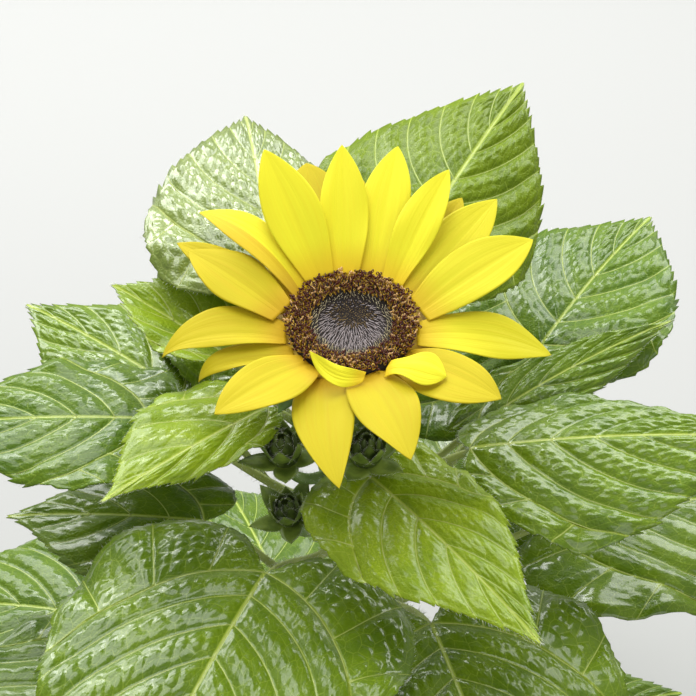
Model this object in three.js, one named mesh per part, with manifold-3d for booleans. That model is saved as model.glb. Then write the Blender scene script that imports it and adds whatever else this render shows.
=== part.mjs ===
// A dwarf sunflower in flower: a leafy stem, a bloom of yellow rays round a dark disc, and side buds.
// Millimetres, +Z up. The origin is the centre of the flat cut under the stem, at ground level.
import * as THREE from 'three';
import { mergeVertices } from 'three/addons/utils/BufferGeometryUtils.js';
import Module from 'manifold-3d';

const wasm = await Module();
wasm.setup();

// Driving dimensions
const STEM_HEIGHT = 363;
const STEM_LEAN = { x: 2, y: -11 };
const STEM_FOOT_RADIUS = 10.5;
const STEM_LOW_RADIUS = 7.2;
const STEM_TOP_RADIUS = 4.4;
const FLARE_HEIGHT = 14;
const STEM_SIDES = 12;
const CLEARANCE = 0.4;
const BLOOM_CENTRE = new THREE.Vector3(2, -14, 380);
const BLOOM_TILT = 10;
const DISC_RADIUS = 23;
const DISC_BASE = -4.8;
const DISC_SIDES = 28;
const RAY_THICKNESS = 0.7;
const RAY_LOWEST = -4.2;
const RAY_LEVEL_STEP = 1.3;
const CUP_RELAX = 0.8;
const CUP_TOP = -5.2;
const CUP_DEPTH = 16;
const CUP_RADIUS = DISC_RADIUS + 0.8;
const CUP_SIDES = 26;
const BRACT_THICKNESS = 0.9;
const BLADE_THICKNESS = 1.2;
const BLADE_THINNEST_SHARE = 0.0105;
const PETIOLE_ROOT_RADIUS = 2.3;
const PETIOLE_TIP_RADIUS = 1.4;
const PETIOLE_RUN = 0.06;
const ROOT_GAP = 0.6;
const STALK_ROOT_RADIUS = 2.6;
const STALK_TIP_RADIUS = 1.9;
const STALK_STIFFNESS = 0.35;
const STALK_STEPS = 6;
const STALK_SIDES = 6;

const COLOURS = {
  stem: 0x86a83e,
  leaf: 0x5f9a1f,
  bract: 0x55842a,
  ray: 0xf7e11c,
  disc: 0x33200f,
};

const radians = THREE.MathUtils.degToRad;
const turned = (degrees, length = 1) =>
  new THREE.Vector3(Math.cos(radians(degrees)) * length, Math.sin(radians(degrees)) * length, 0);

// Solids and meshes

function toSolid(geometry) {
  const bare = geometry.clone();
  bare.deleteAttribute('normal');
  bare.deleteAttribute('uv');
  const merged = mergeVertices(bare, 1e-4);
  return new wasm.Manifold(
    new wasm.Mesh({
      numProp: 3,
      vertProperties: new Float32Array(merged.attributes.position.array),
      triVerts: new Uint32Array(merged.index.array),
    }),
  );
}

function toGeometry(solid) {
  const mesh = solid.getMesh();
  const geometry = new THREE.BufferGeometry();
  geometry.setAttribute('position', new THREE.BufferAttribute(mesh.vertProperties, 3));
  geometry.setIndex(new THREE.BufferAttribute(mesh.triVerts, 1));
  geometry.computeVertexNormals();
  return geometry;
}

// Keeps the outer skin only, so that small pockets shut in between bracts are filled.
const outerSkin = (solid) =>
  solid.decompose().reduce((largest, part) => (part.volume() > largest.volume() ? part : largest));

function indexed(points, triangles) {
  const geometry = new THREE.BufferGeometry();
  geometry.setAttribute(
    'position',
    new THREE.Float32BufferAttribute(points.flatMap((p) => [p.x, p.y, p.z]), 3),
  );
  geometry.setIndex(triangles.flat());
  return geometry;
}

// A closed tube along the curve, with a ring of `sides` points at each step and a flat cap at both ends.
function tube(curve, radiusAt, steps, sides) {
  const centres = curve.getSpacedPoints(steps);
  const frames = curve.computeFrenetFrames(steps, false);
  const rings = centres.map((centre, i) =>
    Array.from({ length: sides }, (_, s) => {
      const angle = (2 * Math.PI * s) / sides;
      return centre
        .clone()
        .addScaledVector(frames.normals[i], Math.cos(angle) * radiusAt(i / steps))
        .addScaledVector(frames.binormals[i], Math.sin(angle) * radiusAt(i / steps));
    }),
  );
  return ringsToGeometry(rings);
}

// Joins rings of equal length into one closed body, with a flat cap on the first and the last.
function ringsToGeometry(rings) {
  const sides = rings[0].length;
  const triangles = [];
  for (let i = 0; i < rings.length - 1; i++) {
    for (let s = 0; s < sides; s++) {
      const next = (s + 1) % sides;
      const [a, b, c, d] = [i * sides + s, i * sides + next, (i + 1) * sides + s, (i + 1) * sides + next];
      triangles.push([a, b, d], [a, d, c]);
    }
  }
  const top = (rings.length - 1) * sides;
  for (let s = 1; s < sides - 1; s++) {
    triangles.push([0, s + 1, s], [top, top + s, top + s + 1]);
  }
  return indexed(rings.flat(), triangles);
}

// A thin closed sheet: a flat net of triangles, put in space by place(a, b, lift), with a rim round it.
function sheet(net, place, thickness) {
  const points = [
    ...net.points.map(([a, b]) => place(a, b, thickness / 2)),
    ...net.points.map(([a, b]) => place(a, b, -thickness / 2)),
  ];
  const count = net.points.length;
  const triangles = [];
  const edges = new Map();
  for (const [i, j, k] of net.triangles) {
    triangles.push([i, j, k], [i + count, k + count, j + count]);
    for (const [from, to] of [[i, j], [j, k], [k, i]]) {
      if (!edges.delete(`${to}_${from}`)) edges.set(`${from}_${to}`, [from, to]);
    }
  }
  for (const [from, to] of edges.values()) {
    triangles.push([from, from + count, to + count], [from, to + count, to]);
  }
  return indexed(points, triangles);
}

// A flat net from rows of [a, b] points: shared points are merged and empty triangles are left out.
class Net {
  points = [];
  triangles = [];
  #known = new Map();

  point([a, b]) {
    const key = `${a.toFixed(3)}_${b.toFixed(3)}`.replace(/-0\.000/g, '0.000');
    if (!this.#known.has(key)) {
      this.#known.set(key, this.points.length);
      this.points.push([a, b]);
    }
    return this.#known.get(key);
  }

  rows(rows, mirrored = false) {
    const ids = rows.map((row) => row.map(([a, b]) => this.point([a, mirrored ? -b : b])));
    for (let r = 0; r < ids.length - 1; r++) {
      for (let c = 0; c < ids[r].length - 1; c++) {
        const [i, j, k, l] = [ids[r][c], ids[r + 1][c], ids[r + 1][c + 1], ids[r][c + 1]];
        this.#triangle(i, j, k, mirrored);
        this.#triangle(i, k, l, mirrored);
      }
    }
  }

  #triangle(i, j, k, mirrored) {
    if (i === j || j === k || k === i) return;
    this.triangles.push(mirrored ? [i, k, j] : [i, j, k]);
  }
}

// An arc of `length` that starts at `angle` and turns down by `fall` over `span`: its reach and its rise.
function arc(length, angle, fall, span) {
  const bend = (Math.abs(fall) < 1e-3 ? 1e-3 : fall) / span;
  return {
    reach: (Math.sin(angle) - Math.sin(angle - bend * length)) / bend,
    rise: (Math.cos(angle - bend * length) - Math.cos(angle)) / bend,
    angle: angle - bend * length,
  };
}

// The stem

function stemCentre(z) {
  const share = z / STEM_HEIGHT;
  return new THREE.Vector3(STEM_LEAN.x * share ** 2, STEM_LEAN.y * share ** 5, z);
}

function stemRadius(z) {
  const taper = STEM_LOW_RADIUS + ((STEM_TOP_RADIUS - STEM_LOW_RADIUS) * z) / STEM_HEIGHT;
  const flare = Math.max(0, 1 - z / FLARE_HEIGHT) ** 2;
  return taper + (STEM_FOOT_RADIUS - STEM_LOW_RADIUS) * flare;
}

function stemGeometry() {
  const heights = [0, 3, 7, FLARE_HEIGHT, 60, 120, 180, 230, 265, 290, 310, 328, 342, 353, STEM_HEIGHT];
  return ringsToGeometry(
    heights.map((z) =>
      Array.from({ length: STEM_SIDES }, (_, s) =>
        stemCentre(z).add(turned((360 * s) / STEM_SIDES, stemRadius(z))),
      ),
    ),
  );
}

// Leaves

// Half the outline of a blade, as shares of its length and its width, from its tip round its base to the
// foot of its midrib: heart-shaped on a grown leaf, tapered on a young one.
const HEART = [
  [1.0, 0.0],
  [0.93, 0.045],
  [0.82, 0.15],
  [0.66, 0.3],
  [0.47, 0.43],
  [0.28, 0.5],
  [0.1, 0.495],
  [-0.04, 0.41],
  [-0.11, 0.26],
  [-0.1, 0.12],
  [0.0, 0.0],
];
const TAPERED = [
  [1.0, 0.0],
  [0.93, 0.045],
  [0.82, 0.15],
  [0.66, 0.31],
  [0.5, 0.44],
  [0.34, 0.5],
  [0.18, 0.43],
  [0.08, 0.28],
  [0.03, 0.16],
  [0.01, 0.07],
  [0.0, 0.0],
];
const LATERAL_END = 0.43;
const LATERAL_SWEEP = 22;
const VEIN_ROWS = 5;
const VEIN_COLUMNS = 3;
const VEIN_SPREAD = 1.1;
const LOBE_COLUMNS = 2;
const RUFFLE_TURNS = 1.6;
const RUFFLE_OFFSET = 0.4;

function veinCurve(start, end, lean) {
  const across = Math.hypot(end[0] - start[0], end[1] - start[1]);
  const angle = Math.atan2(end[1] - start[1], end[0] - start[0]) + lean;
  const middle = new THREE.Vector3(
    start[0] + 0.5 * across * Math.cos(angle),
    start[1] + 0.5 * across * Math.sin(angle),
    0,
  );
  return new THREE.QuadraticBezierCurve3(
    new THREE.Vector3(start[0], start[1], 0),
    middle,
    new THREE.Vector3(end[0], end[1], 0),
  );
}

const shareRow = (curve, columns) =>
  Array.from({ length: columns + 1 }, (_, c) => {
    const p = curve.getPoint(c / columns);
    return [p.x, p.y];
  });

function bladeNet({ length, width, lobe }) {
  const mix = (i, k) => THREE.MathUtils.lerp(TAPERED[i][k], HEART[i][k], lobe);
  const outline = new THREE.CatmullRomCurve3(HEART.map((_, i) => new THREE.Vector3(mix(i, 0), mix(i, 1), 0)));
  const edge = (t) => {
    const p = outline.getPoint(t);
    return [p.x * length, p.y * width];
  };
  const net = new Net();
  const rows = [];
  for (let r = 0; r <= VEIN_ROWS; r++) {
    const share = r / VEIN_ROWS;
    const start = [length * share ** VEIN_SPREAD, 0];
    const end = edge(LATERAL_END * (1 - share));
    rows.push(shareRow(veinCurve(start, end, radians(LATERAL_SWEEP) * (1 - share)), VEIN_COLUMNS));
  }
  const lateral = rows[0];
  const lobeRows = [];
  for (let r = 0; r <= VEIN_COLUMNS; r++) {
    const end = edge(1 - ((1 - LATERAL_END) * r) / VEIN_COLUMNS);
    lobeRows.push(shareRow(veinCurve(lateral[r], end, 0), LOBE_COLUMNS));
  }
  for (const mirrored of [false, true]) {
    net.rows(rows, mirrored);
    net.rows(lobeRows, mirrored);
  }
  return net;
}

// Where the blade's point (a along the midrib, b across it) lies, lifted off its middle surface.
function bladePlacer(leaf) {
  const foot = turned(leaf.turn, leaf.reach).setZ(leaf.height);
  const halfWidth = leaf.width / 2;
  const ahead = turned(leaf.heading);
  return (a, b, lift) => {
    const sign = Math.sign(b);
    const [fold, curl] = sign > 0 ? leaf.left : leaf.right;
    const breadth = sign > 0 ? leaf.shares[0] : leaf.shares[1];
    const along = arc(a, radians(leaf.pitch), radians(leaf.droop), leaf.length);
    const across = arc(Math.abs(b) * breadth, radians(fold), radians(curl), halfWidth);
    const tangent = ahead.clone().multiplyScalar(Math.cos(along.angle)).setZ(Math.sin(along.angle));
    const side = turned(leaf.heading + 90).applyAxisAngle(tangent, radians(leaf.roll));
    const normal = new THREE.Vector3().crossVectors(tangent, side);
    const turns = (RUFFLE_TURNS * a) / leaf.length + leaf.phase + (sign > 0 ? RUFFLE_OFFSET : 0);
    const wave = leaf.ruffle * (b / halfWidth) ** 2 * Math.sin(2 * Math.PI * turns);
    return foot
      .clone()
      .addScaledVector(ahead, along.reach)
      .add(new THREE.Vector3(0, 0, along.rise))
      .addScaledVector(side, sign * (across.reach - lift * Math.sin(across.angle)))
      .addScaledVector(normal, across.rise + wave + lift * (sign === 0 ? 1 : Math.cos(across.angle)));
  };
}

// A stalk's curve from the stem at the height `node` to `end`, which it reaches in the direction arriving.
function stalkCurve(node, end, arriving) {
  const axis = stemCentre(node);
  const outward = new THREE.Vector3(end.x - axis.x, end.y - axis.y, 0).normalize();
  const root = axis.clone().addScaledVector(outward, stemRadius(node) + ROOT_GAP);
  const reach = STALK_STIFFNESS * root.distanceTo(end);
  return new THREE.CubicBezierCurve3(
    root,
    root.clone().addScaledVector(outward, reach),
    end.clone().addScaledVector(arriving, -reach),
    end,
  );
}

// The petiole leaves the stem at leaf.node, climbs outwards and runs a little way under the midrib.
function petioleCurve(leaf) {
  const place = bladePlacer(leaf);
  return stalkCurve(leaf.node, place(PETIOLE_RUN * leaf.length, 0, 0), place(0, 0, 0).sub(place(-1, 0, 0)));
}

function leafSolid(leaf) {
  const thickness = Math.max(BLADE_THICKNESS, leaf.length * BLADE_THINNEST_SHARE);
  const blade = toSolid(sheet(bladeNet(leaf), bladePlacer(leaf), thickness));
  const radiusAt = (share) => THREE.MathUtils.lerp(PETIOLE_ROOT_RADIUS, PETIOLE_TIP_RADIUS, Math.sqrt(share));
  return outerSkin(blade.add(toSolid(tube(petioleCurve(leaf), radiusAt, STALK_STEPS, STALK_SIDES))));
}

// Each leaf leaves the stem at the height `node`, and its blade's foot lies at turn, reach and height round
// the origin. Its midrib runs towards heading, sloped by pitch at its foot and losing droop by its tip. Lobe
// is 1 for a heart-shaped base. Left and right are each half's [fold, curl]: fold lifts it, and curl turns
// its edge down. Ruffle is the height of the waves along the edges, and phase where they start.
const LEAF_FIELDS =
  'node turn reach height heading length width lobe pitch droop roll left right ruffle phase'.split(' ');
const LEAF_ROWS = {
  front_centre: [302, -78, 43, 328, -55, 98, 80, 1, 7, 14, 4, [4, 14], [4, 14], 3, 0.1],
  front_left: [262, -116, 69, 298, -112, 150, 130, 1, 4, 22, 0, [2, 12], [2, 12], 4, 0.4],
  front_right: [238, -64, 73, 274, -74, 145, 124, 1, 2, 20, 0, [0, 10], [0, 10], 4, 0.7],
  right: [290, -23, 51, 322, 6, 122, 104, 0.3, 4, 14, 3, [-14, 24], [-6, 12], 3, 0.2],
  right_upper: [274, 19, 56, 300, 34, 102, 70, 0.9, 12, 16, 0, [4, 12], [-20, 14], 2, 0.5],
  right_back: [244, 42, 112, 294, 58, 108, 90, 1, 8, 16, 0, [6, 10], [6, 10], 3, 0.9],
  back_right: [332, 62, 50, 366, 64, 120, 98, 0.8, 8, 6, 0, [4, 10], [-16, 26], 2, 0.3],
  back_left: [338, 126, 49, 362, 98, 106, 96, 1, 11, 20, 12, [0, 24], [4, 16], 3, 0.6],
  left_folded: [310, 168, 46, 342, 144, 60, 44, 0.3, 12, 8, 0, [26, 12], [26, 12], 2, 0.8],
  left: [250, 152, 64, 296, 140, 108, 82, 1, 6, 12, 0, [2, 10], [2, 10], 3, 0.15],
  left_low: [274, 176, 78, 314, 180, 94, 76, 1, 4, 14, 0, [2, 12], [2, 12], 3, 0.55],
  left_front: [316, -144, 36, 344, -137, 76, 68, 0.4, 7, 10, 0, [-10, 10], [0, 8], 2, 0.35],
  left_under: [224, -174, 58, 269, 170, 83, 78, 1, -2, 12, 0, [2, 12], [2, 12], 3, 0.75],
  back_low_right: [222, 72, 68, 268, 72, 122, 100, 1, 6, 22, 0, [2, 12], [2, 12], 4, 0.25],
  back_low_left: [256, 112, 62, 304, 113, 120, 98, 1, 6, 20, 0, [2, 12], [2, 12], 4, 0.65],
  low_right: [206, 16, 86, 238, 14, 142, 120, 1, 4, 26, 0, [2, 12], [2, 12], 4, 0.05],
  low_left_front: [192, -148, 86, 226, -146, 136, 114, 1, 4, 26, 0, [2, 12], [2, 12], 4, 0.45],
  low_back_right: [172, 58, 90, 202, 60, 142, 120, 1, 2, 26, 0, [2, 12], [2, 12], 4, 0.85],
  low_front: [162, -92, 84, 196, -90, 146, 124, 1, 2, 26, 0, [2, 12], [2, 12], 4, 0.3],
  low_left: [136, 162, 90, 166, 164, 144, 122, 1, 2, 26, 0, [2, 12], [2, 12], 4, 0.7],
  low_right_front: [122, -36, 90, 152, -36, 146, 124, 1, 0, 26, 0, [2, 12], [2, 12], 4, 0.5],
  foot_back: [92, 108, 82, 112, 108, 136, 114, 1, 0, 24, 0, [2, 12], [2, 12], 4, 0.1],
  foot_front: [74, -122, 80, 94, -124, 128, 108, 1, 0, 22, 0, [2, 12], [2, 12], 3, 0.6],
  foot_right: [58, 26, 74, 76, 26, 118, 98, 1, 0, 20, 0, [2, 12], [2, 12], 3, 0.9],
};

// Leaves that aren't even: the shares of half the width on the left and on the right of the midrib
const UNEVEN_LEAVES = {
  front_centre: [0.7, 0.86],
  right: [0.75, 0.9],
  right_upper: [0.45, 0.5],
  back_right: [1.1, 0.88],
  back_left: [1, 0.88],
  left_front: [0.42, 0.95],
  left_under: [1, 0.8],
};
const LEAVES = Object.entries(LEAF_ROWS).map(([name, row]) => [
  `leaf_${name}`,
  {
    ...Object.fromEntries(LEAF_FIELDS.map((field, i) => [field, row[i]])),
    shares: UNEVEN_LEAVES[name] ?? [1, 1],
  },
]);

// The bloom: its own axes at the disc's centre

const bloomAxis = new THREE.Vector3(0, -Math.sin(radians(BLOOM_TILT)), Math.cos(radians(BLOOM_TILT)));
const bloomRight = new THREE.Vector3(1, 0, 0);
const bloomBack = new THREE.Vector3().crossVectors(bloomAxis, bloomRight);
const bloomOut = (degrees) =>
  bloomRight
    .clone()
    .multiplyScalar(Math.cos(radians(degrees)))
    .addScaledVector(bloomBack, Math.sin(radians(degrees)));
const bloomBasis = new THREE.Matrix4()
  .makeBasis(bloomRight, bloomBack, bloomAxis)
  .setPosition(BLOOM_CENTRE);

// Strips: how full their outline is, where their hook starts, the root's share of the full width, and the
// net's rows and columns
const STRIP_FULLNESS = 0.84;
const HOOK_START = 0.72;
const RAY_STRIP = { rootShare: 0.5, rows: 6, columns: 4 };
const BRACT_STRIP = { rootShare: 0.7, rows: 3, columns: 2 };

// A petal-like strip: rows of points across it, narrower at its root and pointed at its tip. It is widest
// halfway where its peak is 1, and nearer to its tip where that is more.
function stripNet({ length, width, peak }, { rootShare, rows, columns }) {
  const net = new Net();
  const grid = [];
  for (let r = 0; r <= rows; r++) {
    const share = r / rows;
    const swell = Math.sin(Math.PI * share ** peak) ** STRIP_FULLNESS;
    const fullness = swell * (1 - rootShare / 2) + rootShare * (1 - share);
    const across = r === rows ? 0 : (width / 2) * fullness;
    const sides = Array.from({ length: columns + 1 }, (_, c) => (2 * c) / columns - 1);
    grid.push(sides.map((side) => [length * share, across * side]));
  }
  net.rows(grid);
  return net;
}

// Where a strip's point lies: it runs ahead from its root, sloping up or down from the plane across `up`.
function stripPlacer(root, ahead, up, strip) {
  const level = new THREE.Vector3().crossVectors(up, ahead);
  const bend = radians(strip.bend);
  const lastFall = radians(strip.hook) + bend * (1 - HOOK_START);
  return (a, b, lift) => {
    const sign = Math.sign(b);
    const evenly = Math.min(a, HOOK_START * strip.length);
    const first = arc(evenly, radians(strip.rise), bend, strip.length);
    const last = arc(a - evenly, first.angle, lastFall, (1 - HOOK_START) * strip.length);
    const breadth = Math.abs(b) * (1 + strip.skew * sign);
    const across = arc(breadth, radians(strip.cup), radians(strip.cup) * CUP_RELAX, strip.width / 2);
    const bow = (4 * strip.sweep * a * (strip.length - a)) / strip.length ** 2;
    const tangent = ahead.clone().multiplyScalar(Math.cos(last.angle)).addScaledVector(up, Math.sin(last.angle));
    const side = level.clone().applyAxisAngle(tangent, radians(strip.roll));
    const normal = new THREE.Vector3().crossVectors(tangent, side);
    return root
      .clone()
      .addScaledVector(ahead, first.reach + last.reach)
      .addScaledVector(up, first.rise + last.rise)
      .addScaledVector(level, bow)
      .addScaledVector(side, sign * across.reach - sign * lift * Math.sin(across.angle))
      .addScaledVector(normal, across.rise + lift * (sign === 0 ? 1 : Math.cos(across.angle)));
  };
}

// Each ray floret: at is its place round the disc, out how far off it, level its row from below, rise its
// slope at the root, bend what it loses by the tip, veer how far it points off the radius, roll its turn
// about its own length, and cup how far its edges lift. Hook is what its end turns down further, sweep how
// far its middle bows to the left, skew the left half's share over the right one's, and peak as in stripNet.
const RAY_FIELDS = 'at out level rise bend length veer width roll cup hook sweep skew peak'.split(' ');
const RAY_ROWS = [
  [349, 0, 1, 14, 50, 51.8, 9, 21, 0, 6, 0, 0, 0, 1.1],
  [12, 0, 2, 20, 16, 50.8, 20, 25, 0, 8, 0, 0, 0.08, 1.25],
  [32, 0, 1, 17, 10, 53.4, 18, 22, 0, 8, 0, 0, 0.05, 1.2],
  [43, 0, 0, 16, 8, 47.4, 16, 18, 0, 8, 0, 0, 0, 1.4],
  [51, 0, 2, 26, 10, 50.4, 12, 17, 0, 14, 0, 0, 0.1, 1.3],
  [72, 0, 1, 23, 10, 56.4, 7, 19.5, 0, 8, 0, 0, 0.04, 1.35],
  [85, 0, 0, 15, 14, 46.5, 2, 13, 0, 8, 0, 0, 0, 1.1],
  [95, 0, 2, 27, 10, 52.8, -3, 18.5, 0, 10, 0, 0, 0, 1.15],
  [108, 0, 0, 18, 14, 54, -7, 22, 0, 8, 0, 0, 0, 2.1],
  [120, 0, 3, 33, 12, 54, -4, 22.5, 0, 8, 0, 0, 0, 1.2],
  [141, 0, 1.5, 36, 62, 57, -4, 15, 0, 12, 0, -2, 0, 1.15],
  [158, 0, 0, 17, 22, 52.2, -11, 17, 0, 8, 0, 0, 0, 1.1],
  [171, 0, 2.8, 17.5, 24, 44.8, -28, 22, 0, 8, 0, 0, 0, 1.15],
  [195, 0, 0.9, 17, 46, 49, -12, 18, 0, 8, 30, -1, -0.4, 1],
  [213, 0, -0.2, 13, 38, 38.5, -23, 11.5, 0, 8, 45, -1, -0.3, 1.1],
  [230, 0, 1, 26, 26, 46.1, -6, 22, 0, 8, 0, 0, 0.1, 1.1],
  [248, 0, 0, 14, 22, 51, 28, 21, 0, 8, 0, -2.5, 0, 0.8],
  [279, 2.6, 3.8, 14, -20, 22, -113, 8, -14, 12, 0, 4, 0, 1],
  [280, 0, 1, 19, 24, 44.7, 11, 22.5, 0, 8, 0, 1, 0, 0.9],
  [298, 0, 3.6, 48, 80, 24, 45, 16, 0, -8, 0, 0, 0, 2.1],
  [321, 0, 0, 23, 28, 42, 4, 24, 0, 8, 0, 0, -0.2, 1.2],
];
const RAYS = RAY_ROWS.map((row) => Object.fromEntries(RAY_FIELDS.map((field, i) => [field, row[i]])));

function raySolid(ray) {
  const rootHalf = ((RAY_STRIP.rootShare * ray.width) / 2) * (1 + Math.abs(ray.skew));
  const turnedIn = rootHalf * Math.abs(Math.sin(radians(ray.veer)));
  const tiltedIn = (RAY_THICKNESS / 2) * Math.sin(radians(ray.rise));
  const root = BLOOM_CENTRE.clone()
    .addScaledVector(bloomOut(ray.at), DISC_RADIUS + CLEARANCE + turnedIn + tiltedIn + ray.out)
    .addScaledVector(bloomAxis, RAY_LOWEST + RAY_LEVEL_STEP * ray.level);
  const place = stripPlacer(root, bloomOut(ray.at + ray.veer), bloomAxis, ray);
  return toSolid(sheet(stripNet(ray, RAY_STRIP), place, RAY_THICKNESS));
}

function discSolid() {
  const profile = [
    [0, DISC_BASE],
    [DISC_RADIUS, DISC_BASE],
    [DISC_RADIUS, -0.6],
    [21.5, 0.5],
    [18, 0.7],
    [14, -1],
    [9, -2.2],
    [0, -2.6],
  ].map(([r, z]) => new THREE.Vector2(r, z));
  const disc = new THREE.LatheGeometry(profile, DISC_SIDES).rotateX(Math.PI / 2).applyMatrix4(bloomBasis);
  return toSolid(disc);
}

// What all bracts share: their edges lift a little, and they are widest well before their middle.
const BRACT_FORM = { roll: 0, cup: 10, hook: 0, sweep: 0, skew: 0, peak: 0.8 };

function bractSolid(root, ahead, up, bract) {
  const strip = { ...bract, ...BRACT_FORM };
  return toSolid(sheet(stripNet(strip, BRACT_STRIP), stripPlacer(root, ahead, up, strip), BRACT_THICKNESS));
}

// The green bracts under the rays: two rows, the lower one between the upper one's tips
const BRACT_ROWS = [
  { count: 11, radius: 19, depth: -8.2, length: 23, width: 10.8, rise: -10, bend: 18, offset: 0 },
  { count: 9, radius: 14, depth: -11, length: 22, width: 12.7, rise: -16, bend: 24, offset: 16 },
];

function cupSolid() {
  const profile = [
    [0, -CUP_DEPTH],
    [4.6, -CUP_DEPTH],
    [8, -13.4],
    [15, -10.4],
    [21, -8],
    [CUP_RADIUS, CUP_TOP - 1],
    [CUP_RADIUS, CUP_TOP],
    [0, CUP_TOP],
  ].map(([r, z]) => new THREE.Vector2(r, z));
  const bell = new THREE.LatheGeometry(profile, CUP_SIDES).rotateX(Math.PI / 2).applyMatrix4(bloomBasis);
  const bracts = BRACT_ROWS.flatMap((row) =>
    Array.from({ length: row.count }, (_, i) => {
      const at = (360 * i) / row.count + row.offset;
      const root = BLOOM_CENTRE.clone()
        .addScaledVector(bloomOut(at), row.radius)
        .addScaledVector(bloomAxis, row.depth);
      return bractSolid(root, bloomOut(at), bloomAxis, row);
    }),
  );
  return outerSkin(wasm.Manifold.union([toSolid(bell), ...bracts]));
}

// Side buds: each leaves the stem at the height `node`, and its middle lies at turn, reach and height.

const BUD_SIDES = 12;
const BUD_BRACTS = 6;
// One bract of a bud, its sizes and the place of its root as shares of the bud's width
const BUD_BRACT = { length: 1.05, width: 0.53, rootOut: 0.225, rootUp: 0.15, rise: 48, bend: -42 };
const BUDS = [
  { node: 302, turn: -124, reach: 40.5, height: 335, size: 13, lean: 10 },
  { node: 274, turn: -122, reach: 40.5, height: 304, size: 11.5, lean: 16 },
  { node: 320, turn: -79, reach: 36.5, height: 337, size: 13, lean: 10 },
];

function budAxis(bud) {
  return turned(bud.turn)
    .multiplyScalar(Math.sin(radians(bud.lean)))
    .setZ(Math.cos(radians(bud.lean)));
}

function budSolid(bud) {
  const radius = bud.size / 2;
  const axis = budAxis(bud);
  const foot = turned(bud.turn, bud.reach).setZ(bud.height - radius);
  const right = new THREE.Vector3().crossVectors(new THREE.Vector3(0, 0, 1), axis).normalize();
  const back = new THREE.Vector3().crossVectors(axis, right);
  const basis = new THREE.Matrix4().makeBasis(right, back, axis).setPosition(foot);
  const profile = [
    [0, 0],
    [0.34, 0],
    [0.8, 0.25],
    [1, 0.75],
    [0.86, 1.25],
    [0.5, 1.6],
    [0, 1.7],
  ].map(([r, z]) => new THREE.Vector2(r * radius, z * radius));
  const core = toSolid(new THREE.LatheGeometry(profile, BUD_SIDES).rotateX(Math.PI / 2).applyMatrix4(basis));
  const bract = { ...BUD_BRACT, length: BUD_BRACT.length * bud.size, width: BUD_BRACT.width * bud.size };
  const bracts = Array.from({ length: BUD_BRACTS }, (_, i) => {
    const angle = radians((360 * i) / BUD_BRACTS);
    const out = right.clone().multiplyScalar(Math.cos(angle)).addScaledVector(back, Math.sin(angle));
    const root = foot
      .clone()
      .addScaledVector(out, BUD_BRACT.rootOut * bud.size)
      .addScaledVector(axis, BUD_BRACT.rootUp * bud.size);
    return bractSolid(root, out, axis, bract);
  });
  return outerSkin(wasm.Manifold.union([core, ...bracts]));
}

function stalkSolid(bud) {
  const axis = budAxis(bud);
  const end = turned(bud.turn, bud.reach)
    .setZ(bud.height - bud.size / 2)
    .addScaledVector(axis, -CLEARANCE);
  const radiusAt = (share) => THREE.MathUtils.lerp(STALK_ROOT_RADIUS, STALK_TIP_RADIUS, share);
  return toSolid(tube(stalkCurve(bud.node, end, axis), radiusAt, STALK_STEPS, STALK_SIDES));
}

// The plant

const plant = new THREE.Group();

function addPart(name, geometry, colour, roughness) {
  const material = new THREE.MeshStandardMaterial({ color: colour, roughness, metalness: 0 });
  const mesh = new THREE.Mesh(geometry, material);
  mesh.name = name;
  plant.add(mesh);
}

const numbered = (name, i) => `${name}_${String(i + 1).padStart(2, '0')}`;

addPart('stem', stemGeometry(), COLOURS.stem, 0.6);
for (const [name, leaf] of LEAVES) addPart(name, toGeometry(leafSolid(leaf)), COLOURS.leaf, 0.4);
addPart('bloom_cup', toGeometry(cupSolid()), COLOURS.bract, 0.6);
addPart('bloom_disc', toGeometry(discSolid()), COLOURS.disc, 0.9);
RAYS.forEach((ray, i) => addPart(numbered('ray', i), toGeometry(raySolid(ray)), COLOURS.ray, 0.5));
BUDS.forEach((bud, i) => {
  addPart(numbered('bud_stalk', i), toGeometry(stalkSolid(bud)), COLOURS.stem, 0.6);
  addPart(numbered('bud', i), toGeometry(budSolid(bud)), COLOURS.bract, 0.6);
});

export default plant;
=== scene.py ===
import math

import bmesh
import bpy
import numpy as np
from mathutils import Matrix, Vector


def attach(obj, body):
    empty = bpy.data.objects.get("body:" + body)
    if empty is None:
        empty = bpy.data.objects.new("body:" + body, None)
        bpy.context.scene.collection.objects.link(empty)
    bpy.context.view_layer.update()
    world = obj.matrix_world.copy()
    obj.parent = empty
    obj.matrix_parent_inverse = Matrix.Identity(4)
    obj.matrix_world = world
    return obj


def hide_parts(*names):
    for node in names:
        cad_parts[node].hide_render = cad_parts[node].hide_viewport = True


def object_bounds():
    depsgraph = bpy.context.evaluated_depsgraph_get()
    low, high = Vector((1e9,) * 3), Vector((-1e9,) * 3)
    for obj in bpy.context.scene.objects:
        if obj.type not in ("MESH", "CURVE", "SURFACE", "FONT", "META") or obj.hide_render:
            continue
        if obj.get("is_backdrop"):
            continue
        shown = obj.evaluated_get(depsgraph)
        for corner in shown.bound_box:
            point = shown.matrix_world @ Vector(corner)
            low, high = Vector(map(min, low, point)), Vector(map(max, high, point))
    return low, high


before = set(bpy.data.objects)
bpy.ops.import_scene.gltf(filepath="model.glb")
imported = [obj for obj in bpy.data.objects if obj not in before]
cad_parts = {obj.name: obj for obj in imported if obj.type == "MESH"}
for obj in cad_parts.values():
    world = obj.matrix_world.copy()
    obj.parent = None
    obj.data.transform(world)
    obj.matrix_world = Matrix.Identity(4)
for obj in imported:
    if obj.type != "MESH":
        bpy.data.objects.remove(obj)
cad_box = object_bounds()


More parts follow.
